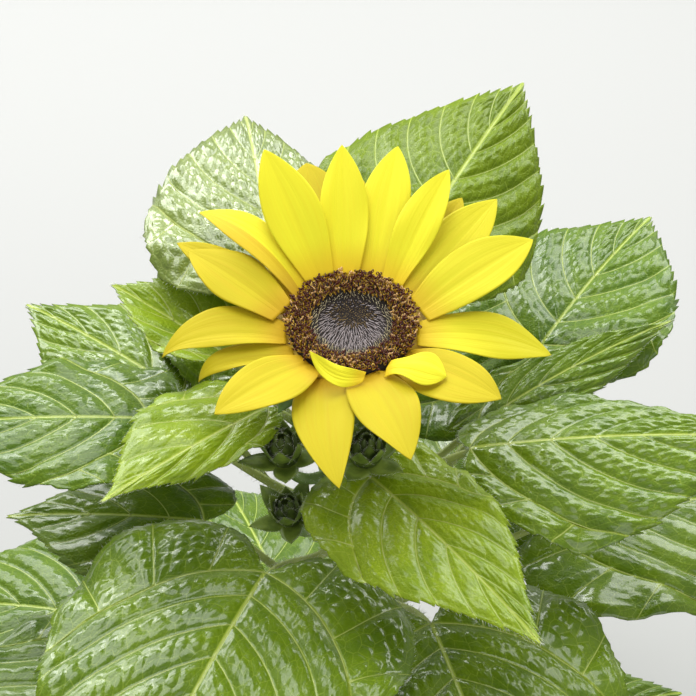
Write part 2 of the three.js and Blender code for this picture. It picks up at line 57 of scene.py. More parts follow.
# View and light
# A long lens looks down at forty degrees on the bloom from the side that it faces. The plant stands on a
# plain pale floor, under the soft light of a bright sky that comes mostly from above and behind.
CAMERA_PLACE = (0.0005456, -0.55904, 0.82406)
CAMERA_TILT = 50
CAMERA_LENS = 100
CAMERA_SENSOR = 36
FLOOR_SIZE = 8.0
FLOOR_COLOUR = (0.46, 0.46, 0.45)
FLOOR_ROUGHNESS = 0.9
PLAIN_GLOSS = 0.5
SKY_COLOUR = (0.96, 0.97, 0.96)
SKY_STRENGTH = 0.36
LAMPS = {
    "lamp_back_left": {"place": (-0.8, 1.15, 1.05), "aim": (0, 0, 0.3), "size": 1.0, "power": 15},
    "lamp_back_right": {"place": (0.75, 1.2, 1.15), "aim": (0, 0, 0.3), "size": 1.1, "power": 16},
    "lamp_above": {"place": (-0.2, 0.3, 1.55), "aim": (0, 0, 0.3), "size": 1.0, "power": 12},
    "lamp_behind": {"place": (-0.3, 1.35, 1.4), "aim": (0, 0, 0.3), "size": 0.55, "power": 9},
    "lamp_front": {"place": (0.6, -1.4, 1.3), "aim": (0, 0, 0.25), "size": 1.3, "power": 9},
}


def matt_material(name, colour, roughness, gloss=PLAIN_GLOSS):
    material = bpy.data.materials.new(name)
    material.use_nodes = True
    shader = material.node_tree.nodes["Principled BSDF"]
    shader.inputs["Base Color"].default_value = (*colour, 1)
    shader.inputs["Roughness"].default_value = roughness
    shader.inputs["Specular IOR Level"].default_value = gloss
    return material


camera = bpy.data.objects.new("camera", bpy.data.cameras.new("camera"))
camera.data.lens = CAMERA_LENS
camera.data.sensor_width = CAMERA_SENSOR
camera.location = CAMERA_PLACE
camera.rotation_euler = (math.radians(CAMERA_TILT), 0, 0)
bpy.context.scene.collection.objects.link(camera)
bpy.context.scene.camera = camera

for lamp_name, lamp in LAMPS.items():
    light = bpy.data.lights.new(lamp_name, "AREA")
    light.shape = "DISK"
    light.size = lamp["size"]
    light.energy = lamp["power"]
    light.color = SKY_COLOUR
    lamp_object = bpy.data.objects.new(lamp_name, light)
    lamp_object.location = lamp["place"]
    towards = Vector(lamp["aim"]) - Vector(lamp["place"])
    lamp_object.rotation_euler = towards.to_track_quat("-Z", "Y").to_euler()
    bpy.context.scene.collection.objects.link(lamp_object)

world = bpy.data.worlds.new("sky")
world.use_nodes = True
world.node_tree.nodes["Background"].inputs["Color"].default_value = (*SKY_COLOUR, 1)
world.node_tree.nodes["Background"].inputs["Strength"].default_value = SKY_STRENGTH
bpy.context.scene.world = world
bpy.context.scene.view_settings.view_transform = "Standard"

bpy.ops.mesh.primitive_plane_add(size=FLOOR_SIZE, location=(0, 0, 0))
floor = bpy.context.object
floor.name = "floor"
floor.data.materials.append(matt_material("floor_paper", FLOOR_COLOUR, FLOOR_ROUGHNESS))
floor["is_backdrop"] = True


# Stem
# One upright green stem, 14 mm thick above its flared foot and 9 mm under the bloom, with fine ridges along
# it and a small swelling under each leaf. It is grown in rings about its gently leaning centre line.
MM = 0.001
STEM_HEIGHT = 363
STEM_LEAN = (2, -11)
STEM_LEAN_POWERS = (2, 5)
STEM_FOOT_RADIUS = 10.5
STEM_LOW_RADIUS = 7.2
STEM_TOP_RADIUS = 4.4
FLARE_HEIGHT = 14
STEM_SIDES = 60
STEM_RINGS = 150
STEM_RIDGES = 10
STEM_RIDGE_HEIGHT = 0.16
STEM_RIDGE_TWIST = 0.25
JOINT_SWELLING = 0.25
JOINT_SWELLING_MOST = 0.3
JOINT_SPREAD = 5
TINY = 1e-9
# A direction that no tube starts along, from which its first side is found
ASIDE = (0.3, 0.2, 1.0)
# Every fade is given as the values where it starts and ends, then what they turn into
MOTTLE_FADE = (0.35, 0.65, 0, 1)
MOTTLE_DETAIL = 4
GRAIN_SCALE = 1400
GRAIN_DETAIL = 2
GRAIN_STRENGTH = 0.35
BUMP_DISTANCE = 0.0003


def unit(vectors):
    return vectors / np.maximum(np.linalg.norm(vectors, axis=-1, keepdims=True), TINY)


def turned(degrees, length=1.0):
    angle = np.radians(degrees)
    return np.stack([np.cos(angle) * length, np.sin(angle) * length, np.zeros_like(angle * length)], -1)


def stem_centre(z):
    share = z / STEM_HEIGHT
    x, y = (lean * share**power for lean, power in zip(STEM_LEAN, STEM_LEAN_POWERS))
    return np.stack([x, y, z + 0 * share], -1)


def stem_radius(z):
    taper = STEM_LOW_RADIUS + (STEM_TOP_RADIUS - STEM_LOW_RADIUS) * z / STEM_HEIGHT
    flare = np.maximum(0, 1 - z / FLARE_HEIGHT) ** 2
    return taper + (STEM_FOOT_RADIUS - STEM_LOW_RADIUS) * flare


def ring_faces(rings, sides):
    """Quads between rings of points, and a flat cap on both ends."""
    faces = []
    for low in range(0, (rings - 1) * sides, sides):
        for s in range(sides):
            beside = (s + 1) % sides
            faces.append((low + s, low + beside, low + sides + beside, low + sides + s))
    faces.append(tuple(reversed(range(sides))))
    faces.append(tuple(range((rings - 1) * sides, rings * sides)))
    return faces


def tube(path, radii, sides):
    """Points and faces of a closed round tube along a path."""
    along = unit(np.gradient(path, axis=0))
    side = np.cross(along[0], ASIDE)
    turns = np.linspace(0, 2 * np.pi, sides, endpoint=False)
    rings = []
    for centre, ahead, radius in zip(path, along, radii):
        side = unit(side - ahead * np.dot(side, ahead))
        other = np.cross(ahead, side)
        rings.append(centre + radius * (np.outer(np.cos(turns), side) + np.outer(np.sin(turns), other)))
    return np.concatenate(rings), ring_faces(len(path), sides)


def joined(parts):
    """One list of points and one of faces from several shapes."""
    points = []
    faces = []
    count = 0
    for part_points, part_faces in parts:
        points.append(part_points)
        faces.extend(tuple(count + i for i in face) for face in part_faces)
        count += len(part_points)
    return np.concatenate(points), faces


def piece_of(name, shape, *materials):
    """A smooth-shaded object from points in millimetres, and faces."""
    points, faces = shape
    mesh = bpy.data.meshes.new(name)
    mesh.from_pydata((np.asarray(points) * MM).tolist(), [], [list(map(int, face)) for face in faces])
    mesh.update()
    mesh.shade_smooth()
    for material in materials:
        mesh.materials.append(material)
    piece = bpy.data.objects.new(name, mesh)
    bpy.context.scene.collection.objects.link(piece)
    return piece


def hand_in(piece, node=None):
    """Says what the piece rides on, which solid it replaces, if any."""
    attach(piece, "root")
    if node:
        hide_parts(node)


def add_node(tree, kind, inputs=(), **settings):
    """A new node with its settings, each named or numbered input set to a value or wired to a socket."""
    node = tree.nodes.new(kind)
    for setting, value in settings.items():
        setattr(node, setting, value)
    for label, value in dict(inputs).items():
        if isinstance(value, bpy.types.NodeSocket):
            tree.links.new(value, node.inputs[label])
        else:
            node.inputs[label].default_value = value
    return node


def node_group(name, kind, inputs, outputs):
    """An empty node group with named inputs and outputs, and the sockets that hold what it is given."""
    tree = bpy.data.node_groups.new(name, kind)
    for in_out, sockets in (("INPUT", inputs), ("OUTPUT", outputs)):
        for label, socket in sockets.items():
            tree.interface.new_socket(label, in_out=in_out, socket_type=f"NodeSocket{socket}")
    return tree, add_node(tree, "NodeGroupInput").outputs


def fade(tree, value, start, end, at_start, at_end):
    """A smooth passage from one value to another."""
    inputs = {"Value": value, 1: start, 2: end, 3: at_start, 4: at_end}
    return add_node(tree, "ShaderNodeMapRange", inputs, interpolation_type="SMOOTHSTEP").outputs["Result"]


def colour_mix(tree, share, first, second):
    """A mix of two colours, which are inputs 6 and 7 of the node."""
    return add_node(tree, "ShaderNodeMix", {0: share, 6: first, 7: second}, data_type="RGBA").outputs[2]


def noise(tree, place, scale, detail):
    """A cloudy pattern of values from 0 to 1."""
    inputs = {"Vector": place, "Scale": scale, "Detail": detail}
    return add_node(tree, "ShaderNodeTexNoise", inputs).outputs["Fac"]


def bumped(tree, height, strength):
    """The surface's normal over small bumps."""
    inputs = {"Height": height, "Strength": strength, "Distance": BUMP_DISTANCE}
    return add_node(tree, "ShaderNodeBump", inputs).outputs["Normal"]


def mottle_group():
    """Cloudy tones and a fine grain, for the stalks, the bracts and the cushion of the disc."""
    inputs = {"Light": "Color", "Dark": "Color", "Scale": "Float"}
    tree, given = node_group("mottle", "ShaderNodeTree", inputs, {"Colour": "Color", "Normal": "Vector"})
    place = add_node(tree, "ShaderNodeTexCoord").outputs["Object"]
    clouds = fade(tree, noise(tree, place, given["Scale"], MOTTLE_DETAIL), *MOTTLE_FADE)
    colour = colour_mix(tree, clouds, given["Light"], given["Dark"])
    normal = bumped(tree, noise(tree, place, GRAIN_SCALE, GRAIN_DETAIL), GRAIN_STRENGTH)
    add_node(tree, "NodeGroupOutput", {"Colour": colour, "Normal": normal})
    return tree


def patterned_material(name, pattern, roughness, gloss, **values):
    """A material whose Principled BSDF is fed by a group, which is given its own values by name."""
    material = matt_material(name, next(iter(values.values())), roughness, gloss)
    tree = material.node_tree
    shader = tree.nodes["Principled BSDF"]
    inputs = {label: value if np.isscalar(value) else (*value, 1) for label, value in values.items()}
    group = add_node(tree, "ShaderNodeGroup", inputs, node_tree=pattern)
    for output in group.outputs:
        tree.links.new(output, shader.inputs["Base Color" if output.name == "Colour" else output.name])
    return material


MOTTLE = mottle_group()


def mottled_material(name, light, dark, scale, roughness):
    return patterned_material(name, MOTTLE, roughness, PLAIN_GLOSS, Light=light, Dark=dark, Scale=scale)


# Leaves, one row each: the height where it leaves the stem, then where its blade starts and how it lies.
# Left and right give how each half folds up from the midrib, and how it curls down again, in degrees.
LEAF_FIELDS = "node turn reach height heading length width lobe pitch droop roll left right ruffle phase tone"
LEAF_ROWS = {
    "front_centre": (302, -78, 43, 328, -55, 98, 80, 1, 7, 14, 4, (4, 14), (4, 14), 3, 0.1, "fresh"),
    "front_left": (262, -116, 69, 298, -112, 150, 130, 1, 4, 22, 0, (2, 12), (2, 12), 4, 0.4, "grown"),
    "front_right": (238, -64, 73, 274, -74, 145, 124, 1, 2, 20, 0, (0, 10), (0, 10), 4, 0.7, "grown"),
    "right": (290, -23, 51, 322, 6, 122, 104, 0.3, 4, 14, 3, (-14, 24), (-6, 12), 3, 0.2, "grown"),
    "right_upper": (274, 19, 56, 300, 34, 102, 70, 0.9, 12, 16, 0, (4, 12), (-20, 14), 2, 0.5, "grown"),
    "right_back": (244, 42, 112, 294, 58, 108, 90, 1, 8, 16, 0, (6, 10), (6, 10), 3, 0.9, "deep"),
    "back_right": (332, 62, 50, 366, 64, 120, 98, 0.8, 8, 6, 0, (4, 10), (-16, 26), 2, 0.3, "soft"),
    "back_left": (338, 126, 49, 362, 98, 106, 96, 1, 11, 20, 12, (0, 24), (4, 16), 3, 0.6, "shiny"),
    "left_folded": (310, 168, 46, 342, 144, 60, 44, 0.3, 12, 8, 0, (26, 12), (26, 12), 2, 0.8, "fresh"),
    "left": (250, 152, 64, 296, 140, 108, 82, 1, 6, 12, 0, (2, 10), (2, 10), 3, 0.15, "grown"),
    "left_low": (274, 176, 78, 314, 180, 94, 76, 1, 4, 14, 0, (2, 12), (2, 12), 3, 0.55, "deep"),
    "left_front": (316, -144, 36, 344, -137, 76, 68, 0.4, 7, 10, 0, (-10, 10), (0, 8), 2, 0.35, "fresh"),
    "left_under": (224, -174, 58, 269, 170, 83, 78, 1, -2, 12, 0, (2, 12), (2, 12), 3, 0.75, "grown"),
    "back_low_right": (222, 72, 68, 268, 72, 122, 100, 1, 6, 22, 0, (2, 12), (2, 12), 4, 0.25, "deep"),
    "back_low_left": (256, 112, 62, 304, 113, 120, 98, 1, 6, 20, 0, (2, 12), (2, 12), 4, 0.65, "grown"),
    "low_right": (206, 16, 86, 238, 14, 142, 120, 1, 4, 26, 0, (2, 12), (2, 12), 4, 0.05, "grown"),
    "low_left_front": (192, -148, 86, 226, -146, 136, 114, 1, 4, 26, 0, (2, 12), (2, 12), 4, 0.45, "deep"),
    "low_back_right": (172, 58, 90, 202, 60, 142, 120, 1, 2, 26, 0, (2, 12), (2, 12), 4, 0.85, "grown"),
    "low_front": (162, -92, 84, 196, -90, 146, 124, 1, 2, 26, 0, (2, 12), (2, 12), 4, 0.3, "deep"),
    "low_left": (136, 162, 90, 166, 164, 144, 122, 1, 2, 26, 0, (2, 12), (2, 12), 4, 0.7, "deep"),
    "low_right_front": (122, -36, 90, 152, -36, 146, 124, 1, 0, 26, 0, (2, 12), (2, 12), 4, 0.5, "grown"),
    "foot_back": (92, 108, 82, 112, 108, 136, 114, 1, 0, 24, 0, (2, 12), (2, 12), 4, 0.1, "deep"),
    "foot_front": (74, -122, 80, 94, -124, 128, 108, 1, 0, 22, 0, (2, 12), (2, 12), 3, 0.6, "deep"),
    "foot_right": (58, 26, 74, 76, 26, 118, 98, 1, 0, 20, 0, (2, 12), (2, 12), 3, 0.9, "deep"),
}
# Leaves that aren't even: the shares of half the width on the left and on the right of the midrib
UNEVEN_LEAVES = {
    "front_centre": (0.7, 0.86),
    "right": (0.75, 0.9),
    "right_upper": (0.45, 0.5),
    "back_right": (1.1, 0.88),
    "back_left": (1, 0.88),
    "left_front": (0.42, 0.95),
    "left_under": (1, 0.8),
}
LEAVES = {
    name: {**dict(zip(LEAF_FIELDS.split(), row)), "shares": UNEVEN_LEAVES.get(name, (1, 1))}
    for name, row in LEAF_ROWS.items()
}

stem_heights = np.linspace(0, STEM_HEIGHT, STEM_RINGS)
stem_turns = np.linspace(0, 360, STEM_SIDES, endpoint=False)
stem_rings = []
for z in stem_heights:
    swelling = 0 * stem_turns
    for leaf in LEAVES.values():
        facing = np.maximum(0, np.cos(np.radians(stem_turns - leaf["turn"])))
        swelling += JOINT_SWELLING * facing * np.exp(-(((z - leaf["node"]) / JOINT_SPREAD) ** 2))
    ridges = STEM_RIDGE_HEIGHT * np.cos(np.radians(STEM_RIDGES * stem_turns + STEM_RIDGE_TWIST * z))
    radii = stem_radius(z) + np.minimum(swelling, JOINT_SWELLING_MOST) + ridges
    stem_rings.append(stem_centre(z) + turned(stem_turns, radii))
stem_green = mottled_material("stem_green", (0.30, 0.42, 0.12), (0.17, 0.29, 0.06), 60, 0.5)
stem_shape = (np.concatenate(stem_rings), ring_faces(STEM_RINGS, STEM_SIDES))
hand_in(piece_of("stem_skin", stem_shape, stem_green), "stem")


# Leaf blades
# Broad heart-shaped blades with a toothed edge, puckered into small glossy pillows between their pale
# veins. Each is a net that follows the side veins, lifted into pillows and given its thickness.
LEAST_BEND = 1e-3
ROUNDING = 1e-6
# Half outlines from the tip round to the foot, as shares of the length along and of the width across
HEART = (
    (1.0, 0.93, 0.82, 0.66, 0.47, 0.28, 0.1, -0.04, -0.11, -0.1, 0.0),
    (0.0, 0.045, 0.15, 0.3, 0.43, 0.5, 0.495, 0.41, 0.26, 0.12, 0.0),
)
TAPERED = (
    (1.0, 0.93, 0.82, 0.66, 0.5, 0.34, 0.18, 0.08, 0.03, 0.01, 0.0),
    (0.0, 0.045, 0.15, 0.31, 0.44, 0.5, 0.43, 0.28, 0.16, 0.07, 0.0),
)
LATERAL_END = 0.43
LATERAL_SWEEP = 32
VEIN_SPREAD = 1.1
VEIN_SPACING = 17
LOWEST_VEIN_NEARNESS = 0.45
LOBE_VEINS = 4
FEWEST_VEINS = 4
RUFFLE_TURNS = 1.6
RUFFLE_OFFSET = 0.4
EDGE_WAVE = 0.55
EDGE_TURNS = 2.7
NET_PITCH = 1.3
LOW_NET_PITCH = 2.2
LOW_LEAF_NODE = 230
# Fan columns and lobe steps against the blade's width, and lobe columns against those of the fan
FAN_COLUMNS = 0.58
LOBE_STEPS = 0.1
LOBE_COLUMNS = 0.55
NET_WELD = 0.02
TOOTH_PITCH = 6.6
TOOTH_DEPTH = 1.8
TOOTH_FORWARDS = 0.5
TOOTH_SWAY = 2.4
TOOTH_SWAY_RUN = 5.3
TOOTH_GROWTH = 0.45
TOOTH_GROWTH_RUN = 8.1
CELL_LENGTH = 5.2
CELL_WIDTH = 6.0
INTERVAL_SHIFT = 9.7
SIDE_SHIFT = 40.0
LOBE_SHIFT = 80.0
BLADE_SKIN = 0.45
BROAD_PILLOW = 2.2
SMALL_PILLOWS = {"fresh": 0.9, "grown": 1.0, "soft": 1.0, "deep": 1.0, "shiny": 1.8}
FULL_PILLOW_LEAF = 120
VALLEY_WIDTH = 3.6
CELL_RANDOMNESS = 0.85
# Fades over distances in millimetres from the blade's edge, a side vein and the midrib
EDGE_FADE = (0.0, 5.0, 0.15, 1.0)
SIDE_LINE = (0.05, 0.5, 0.8, 0.0)
MIDDLE_LINE = (0.4, 1.1, 1.0, 0.0)
# Fades over distances from the edges of cells, in cell widths
CELL_RISE = (0.0, 0.34, 0.0, 1.0)
CELL_LINE = (0.0, 0.05, 0.36, 0.0)
FINE_CELL_SCALE = 620
FINE_LINE = (0.0, 0.05, 0.06, 0.0)
# Painted shade: the blade darkens towards the seams of the fine net, which are the grooves of its pits
FINE_SEAM_SHADE = (0.0, 0.25, 0.6, 0.0)
FINE_PITS = (0.0, 0.4, 0.0, 1.0)
# The fades of roughness over the lines, and of tone over the clouds, and the rest of the surface
LINE_ROUGHNESS = (0.0, 1.0, 0.42, 0.55)
CLOUD_SCALE = 55
CLOUD_DETAIL = 5
CLOUD_FADE = (0.32, 0.68, 0.0, 1.0)
LEAF_ROUGHNESS = 0.45
LEAF_RELIEF = 0.5
WAX_ROUGHNESS = 0.16
# The tones of leaves: the colours of blade, shade and vein, the gloss and the wax
LEAF_TONES = {
    "fresh": ((0.285, 0.395, 0.010), (0.18, 0.28, 0.006), (0.44, 0.54, 0.07), 0.15, 0.45),
    "grown": ((0.17, 0.27, 0.005), (0.095, 0.175, 0.003), (0.38, 0.48, 0.06), 0.15, 0.8),
    "soft": ((0.175, 0.255, 0.006), (0.105, 0.17, 0.004), (0.40, 0.50, 0.08), 0.1, 0.2),
    "deep": ((0.13, 0.22, 0.006), (0.07, 0.145, 0.004), (0.33, 0.43, 0.05), 0.15, 0.55),
    "shiny": ((0.22, 0.30, 0.025), (0.14, 0.21, 0.012), (0.46, 0.53, 0.13), 0.7, 0.9),
    "back": ((0.25, 0.35, 0.09), (0.19, 0.28, 0.07), (0.42, 0.50, 0.18), 0.3, 0.0),
}


def arc(length, angle, fall, span):
    """An arc that starts at an angle and turns down by fall over span: its reach, rise and last angle."""
    bend = np.where(np.abs(fall) < LEAST_BEND, LEAST_BEND, fall) / span
    end = angle - bend * length
    return (np.sin(angle) - np.sin(end)) / bend, (np.cos(end) - np.cos(angle)) / bend, end


def outline_of(leaf):
    """Half a blade's edge as a smooth curve from its tip (0) round to its foot (1), in millimetres."""
    share = leaf["lobe"]
    knots = (1 - share) * np.array(TAPERED).T + share * np.array(HEART).T
    knots = knots * (leaf["length"], leaf["width"])
    before = np.concatenate([2 * knots[:1] - knots[1:2], knots, 2 * knots[-1:] - knots[-2:-1]])

    def edge(t):
        place = np.clip(t, 0, 1) * (len(knots) - 1)
        i = np.minimum(place.astype(int), len(knots) - 2)
        f = (place - i)[..., None]
        p0, p1, p2, p3 = before[i], before[i + 1], before[i + 2], before[i + 3]
        cubic = 2 * p0 - 5 * p1 + 4 * p2 - p3 + f * (3 * (p1 - p2) + p3 - p0)
        return p1 + 0.5 * f * (p2 - p0 + f * cubic)

    return edge


def vein_curve(start, end, lean, u):
    """Points of a vein between two places, bowed towards the tip by the angle lean."""
    chord = end - start
    angle = np.arctan2(chord[..., 1], chord[..., 0]) + lean
    half = 0.5 * np.linalg.norm(chord, axis=-1)
    middle = start + np.stack([half * np.cos(angle), half * np.sin(angle)], -1)
    u = u[..., None]
    return (1 - u) ** 2 * start + 2 * u * (1 - u) * middle + u**2 * end


def side_vein(leaf, edge, share, u):
    """The side vein that leaves the midrib at a share of its length, u being the place along it."""
    start = np.stack([leaf["length"] * share**VEIN_SPREAD, 0 * share], -1)
    end = edge(LATERAL_END * (1 - share))
    return vein_curve(start, end, np.radians(LATERAL_SWEEP) * (1 - share), u)


def lobe_vein(leaf, edge, u, c):
    """The branch that leaves the lowest side vein at u and runs back to the edge of the lobe."""
    start = side_vein(leaf, edge, 0 * u, u)
    return vein_curve(start, edge(1 - (1 - LATERAL_END) * u), 0 * u, c)


def blade_placer(leaf):
    """Where the blade's point lies: a along the midrib, b across it, lifted off its middle surface."""
    foot = turned(leaf["turn"], leaf["reach"]) + (0, 0, leaf["height"])
    ahead = turned(leaf["heading"])
    level = turned(leaf["heading"] + 90)
    half = leaf["width"] / 2
    up = np.array((0, 0, 1.0))

    def place(a, b, lift=0.0):
        a, b, lift = np.broadcast_arrays(np.asarray(a, float), b, lift)
        sign = np.sign(b)[..., None]
        fold = np.where(b > 0, leaf["left"][0], leaf["right"][0])
        curl = np.where(b > 0, leaf["left"][1], leaf["right"][1])
        breadth = np.where(b > 0, *leaf["shares"])
        reach, rise, slope = arc(a, np.radians(leaf["pitch"]), np.radians(leaf["droop"]), leaf["length"])
        out, over, tilt = arc(np.abs(b) * breadth, np.radians(fold), np.radians(curl), half)
        tangent = np.cos(slope)[..., None] * ahead + np.sin(slope)[..., None] * up
        roll = np.radians(leaf["roll"])
        side = np.cos(roll) * level + np.sin(roll) * np.cross(tangent, level)
        normal = np.cross(tangent, side)
        turns = RUFFLE_TURNS * a / leaf["length"] + leaf["phase"] + np.where(b > 0, RUFFLE_OFFSET, 0)
        across = np.abs(b / half)
        wave = leaf["ruffle"] * (b / half) ** 2 * np.sin(2 * np.pi * turns)
        wave = wave + EDGE_WAVE * leaf["ruffle"] * across**3 * np.sin(2 * np.pi * EDGE_TURNS * turns)
        along = reach[..., None] * ahead + rise[..., None] * up
        outward = (out - lift * np.sin(tilt))[..., None]
        upward = (over + wave + lift * np.where(b == 0, 1, np.cos(tilt)))[..., None]
        return foot + along + side * sign * outward + normal * upward

    return place


def toothed(points, inner):
    """Draws the last column of a net out into forward-pointing teeth."""
    edge = points[:, -1]
    steps = np.linalg.norm(np.diff(edge, axis=0), axis=1)
    run = np.concatenate([[0], np.cumsum(steps)])
    outwards = unit(edge - inner)
    forwards = np.array((1.0, 0.0))
    phase = (run + TOOTH_SWAY * np.sin(run / TOOTH_SWAY_RUN)) / TOOTH_PITCH % 1
    depth = TOOTH_DEPTH * (1 + TOOTH_GROWTH * np.sin(run / TOOTH_GROWTH_RUN)) * (run[-1] > TOOTH_PITCH)
    points[:, -1] = edge + (outwards + TOOTH_FORWARDS * forwards) * (depth * phase)[:, None]
    return points


def vein_count(leaf):
    return max(FEWEST_VEINS, round(leaf["length"] / VEIN_SPACING))


def blade_patches(leaf):
    """The two patches of half a blade: the fan of side veins, and the lobe behind the lowest one."""
    edge = outline_of(leaf)
    pitch = LOW_NET_PITCH if leaf["node"] < LOW_LEAF_NODE else NET_PITCH
    veins = vein_count(leaf)
    columns = round(FAN_COLUMNS * leaf["width"] / pitch)
    fan_steps = 2 * max(2, round(0.5 * leaf["length"] / veins / pitch))
    lobe_steps = 2 * round(LOBE_STEPS * leaf["width"] / pitch)
    fan = (side_vein, veins, fan_steps, columns)
    lobe = (lobe_vein, LOBE_VEINS, lobe_steps, round(LOBE_COLUMNS * columns))
    patches = []
    for vein, count, steps, column_count in (fan, lobe):
        shares = np.linspace(0, 1, count * steps + 1)
        s, c = np.meshgrid(shares, np.linspace(0, 1, column_count + 1), indexing="ij")
        points = vein(leaf, edge, s, c)
        below = np.floor(s * count + ROUNDING)
        low = vein(leaf, edge, below / count, c)
        high = vein(leaf, edge, np.minimum(below + 1, count) / count, c)
        lengths = np.linalg.norm(points[:, -1] - points[:, 0], axis=-1)[:, None]
        patches.append(
            {
                "points": toothed(points, points[:, -2].copy()),
                "gap": np.linalg.norm(high - low, axis=-1),
                "run": c * lengths,
                "to_edge": (1 - c) * lengths,
                "steps": steps,
                "is_lobe": vein is lobe_vein,
            }
        )
    return patches


def note_points(mesh, name, values):
    """Keeps a number or a vector for each point of a mesh, as an attribute that node trees read."""
    values = np.asarray(values, np.float32)
    kind, field = ("FLOAT", "value") if values.ndim == 1 else ("FLOAT_VECTOR", "vector")
    mesh.attributes.new(name, kind, "POINT").data.foreach_set(field, values.ravel())


def lay_corners(mesh, name, places):
    """Keeps the place of each face corner in the piece's own pattern, as a UV map."""
    mesh.uv_layers.new(name=name).uv.foreach_set("vector", np.asarray(places, np.float32).ravel())


def weld(mesh, distance):
    """Merges the points of a mesh that lie within a distance, given in millimetres."""
    work = bmesh.new()
    work.from_mesh(mesh)
    bmesh.ops.remove_doubles(work, verts=work.verts, dist=distance * MM)
    work.to_mesh(mesh)
    work.free()


def blade_sheet(name, leaf, materials):
    """The blade as an open net of points, with its distances to veins and edge as attributes."""
    place = blade_placer(leaf)
    points, faces, cells, ribs, midribs, edges = [], [], [], [], [], []
    count = 0
    for side in (1, -1):
        for patch in blade_patches(leaf):
            flat = patch["points"]
            steps = patch["steps"]
            rows, columns = flat.shape[:2]
            beside = (np.arange(rows) % steps)[:, None] / steps * patch["gap"]
            rib = np.minimum(beside, patch["gap"] - beside)
            if patch["is_lobe"]:
                rib = np.minimum(rib, patch["run"] * LOWEST_VEIN_NEARNESS)
            else:
                up_the_gap = np.minimum(2 * np.arange(rows) / steps, 1)[:, None]
                rib = rib * (LOWEST_VEIN_NEARNESS + (1 - LOWEST_VEIN_NEARNESS) * up_the_gap)
            points.append(place(flat[..., 0], side * flat[..., 1]).reshape(-1, 3))
            ribs.append(rib.ravel())
            midribs.append(np.abs(flat[..., 1]).ravel())
            edges.append(patch["to_edge"].ravel())
            shift = (SIDE_SHIFT if side < 0 else 0) + (LOBE_SHIFT if patch["is_lobe"] else 0)
            for r in range(rows - 1):
                interval = r // steps
                for c in range(columns - 1):
                    corners = [(r, c), (r + 1, c), (r + 1, c + 1), (r, c + 1)]
                    if side < 0:
                        corners.reverse()
                    faces.append([count + i * columns + j for i, j in corners])
                    for i, j in corners:
                        w = (i / steps - interval) * patch["gap"][r, j]
                        along = patch["run"][i, j] / CELL_LENGTH + INTERVAL_SHIFT * interval + shift
                        cells.append((along, w / CELL_WIDTH))
            count += rows * columns
    sheet = piece_of(name, (np.concatenate(points), faces), *materials)
    lay_corners(sheet.data, "cells", cells)
    for attribute, values in (("rib", ribs), ("midrib", midribs), ("edge", edges)):
        note_points(sheet.data, attribute, np.concatenate(values))
    weld(sheet.data, NET_WELD)
    return sheet


def geometry_tree(name, inputs):
    """An empty tree that takes a geometry, the named inputs and a material."""
    inputs = {"Geometry": "Geometry", **inputs, "Material": "Material"}
    return node_group(name, "GeometryNodeTree", inputs, {"Geometry": "Geometry"})


def end_tree(tree, given, geometry):
    """The end of every tree: its instances are realized and the given material is set."""
    realized = add_node(tree, "GeometryNodeRealizeInstances", {"Geometry": geometry}).outputs[0]
    inputs = {"Geometry": realized, "Material": given["Material"]}
    painted = add_node(tree, "GeometryNodeSetMaterial", inputs).outputs[0]
    add_node(tree, "NodeGroupOutput", {"Geometry": painted})
    return tree


def number(tree, operation, first, second=None):
    inputs = {0: first} if second is None else {0: first, 1: second}
    return add_node(tree, "ShaderNodeMath", inputs, operation=operation).outputs[0]


def named(tree, attribute, kind="FLOAT"):
    inputs = {"Name": attribute}
    return add_node(tree, "GeometryNodeInputNamedAttribute", inputs, data_type=kind).outputs["Attribute"]


def cell_edges(tree, place, dimensions, scale, randomness):
    """The distance from the edges between the cells of a pattern."""
    inputs = {"Vector": place, "Scale": scale, "Randomness": randomness}
    settings = {"feature": "DISTANCE_TO_EDGE", "voronoi_dimensions": dimensions}
    return add_node(tree, "ShaderNodeTexVoronoi", inputs, **settings).outputs["Distance"]


def pillow_tree():
    """Lifts a sheet into pillows: broad ones between side veins, small ones in the cells between them."""
    tree, given = geometry_tree("pillows", {"Broad": "Float", "Small": "Float"})
    cells = cell_edges(tree, named(tree, "cells", "FLOAT_VECTOR"), "2D", 1, CELL_RANDOMNESS)
    nearest = number(tree, "MINIMUM", named(tree, "rib"), named(tree, "midrib"))
    valley = number(tree, "EXPONENT", number(tree, "DIVIDE", nearest, -VALLEY_WIDTH))
    off_vein = number(tree, "SUBTRACT", 1.0, valley)
    broad = number(tree, "MULTIPLY", off_vein, given["Broad"])
    small = number(tree, "MULTIPLY", fade(tree, cells, *CELL_RISE), off_vein)
    both = number(tree, "ADD", broad, number(tree, "MULTIPLY", small, given["Small"]))
    lift = number(tree, "MULTIPLY", both, fade(tree, named(tree, "edge"), *EDGE_FADE))
    normal = add_node(tree, "GeometryNodeInputNormal").outputs[0]
    offset = add_node(tree, "ShaderNodeVectorMath", {0: normal, "Scale": lift}, operation="SCALE")
    inputs = {"Geometry": given["Geometry"], "Offset": offset.outputs[0]}
    return end_tree(tree, given, add_node(tree, "GeometryNodeSetPosition", inputs).outputs[0])


PILLOWS = pillow_tree()


def add_tree(piece, tree, **values):
    """Adds a node tree to a piece, each input set by its socket's identifier."""
    modifier = piece.modifiers.new(tree.name, "NODES")
    modifier.node_group = tree
    for item in tree.interface.items_tree:
        if item.item_type == "SOCKET" and item.in_out == "INPUT" and item.name in values:
            modifier[item.identifier] = values[item.name]


def settle(piece):
    """Turns what the modifiers make into the piece's own plain mesh."""
    graph = bpy.context.evaluated_depsgraph_get()
    mesh = bpy.data.meshes.new_from_object(piece.evaluated_get(graph), depsgraph=graph)
    piece.modifiers.clear()
    piece.data = mesh


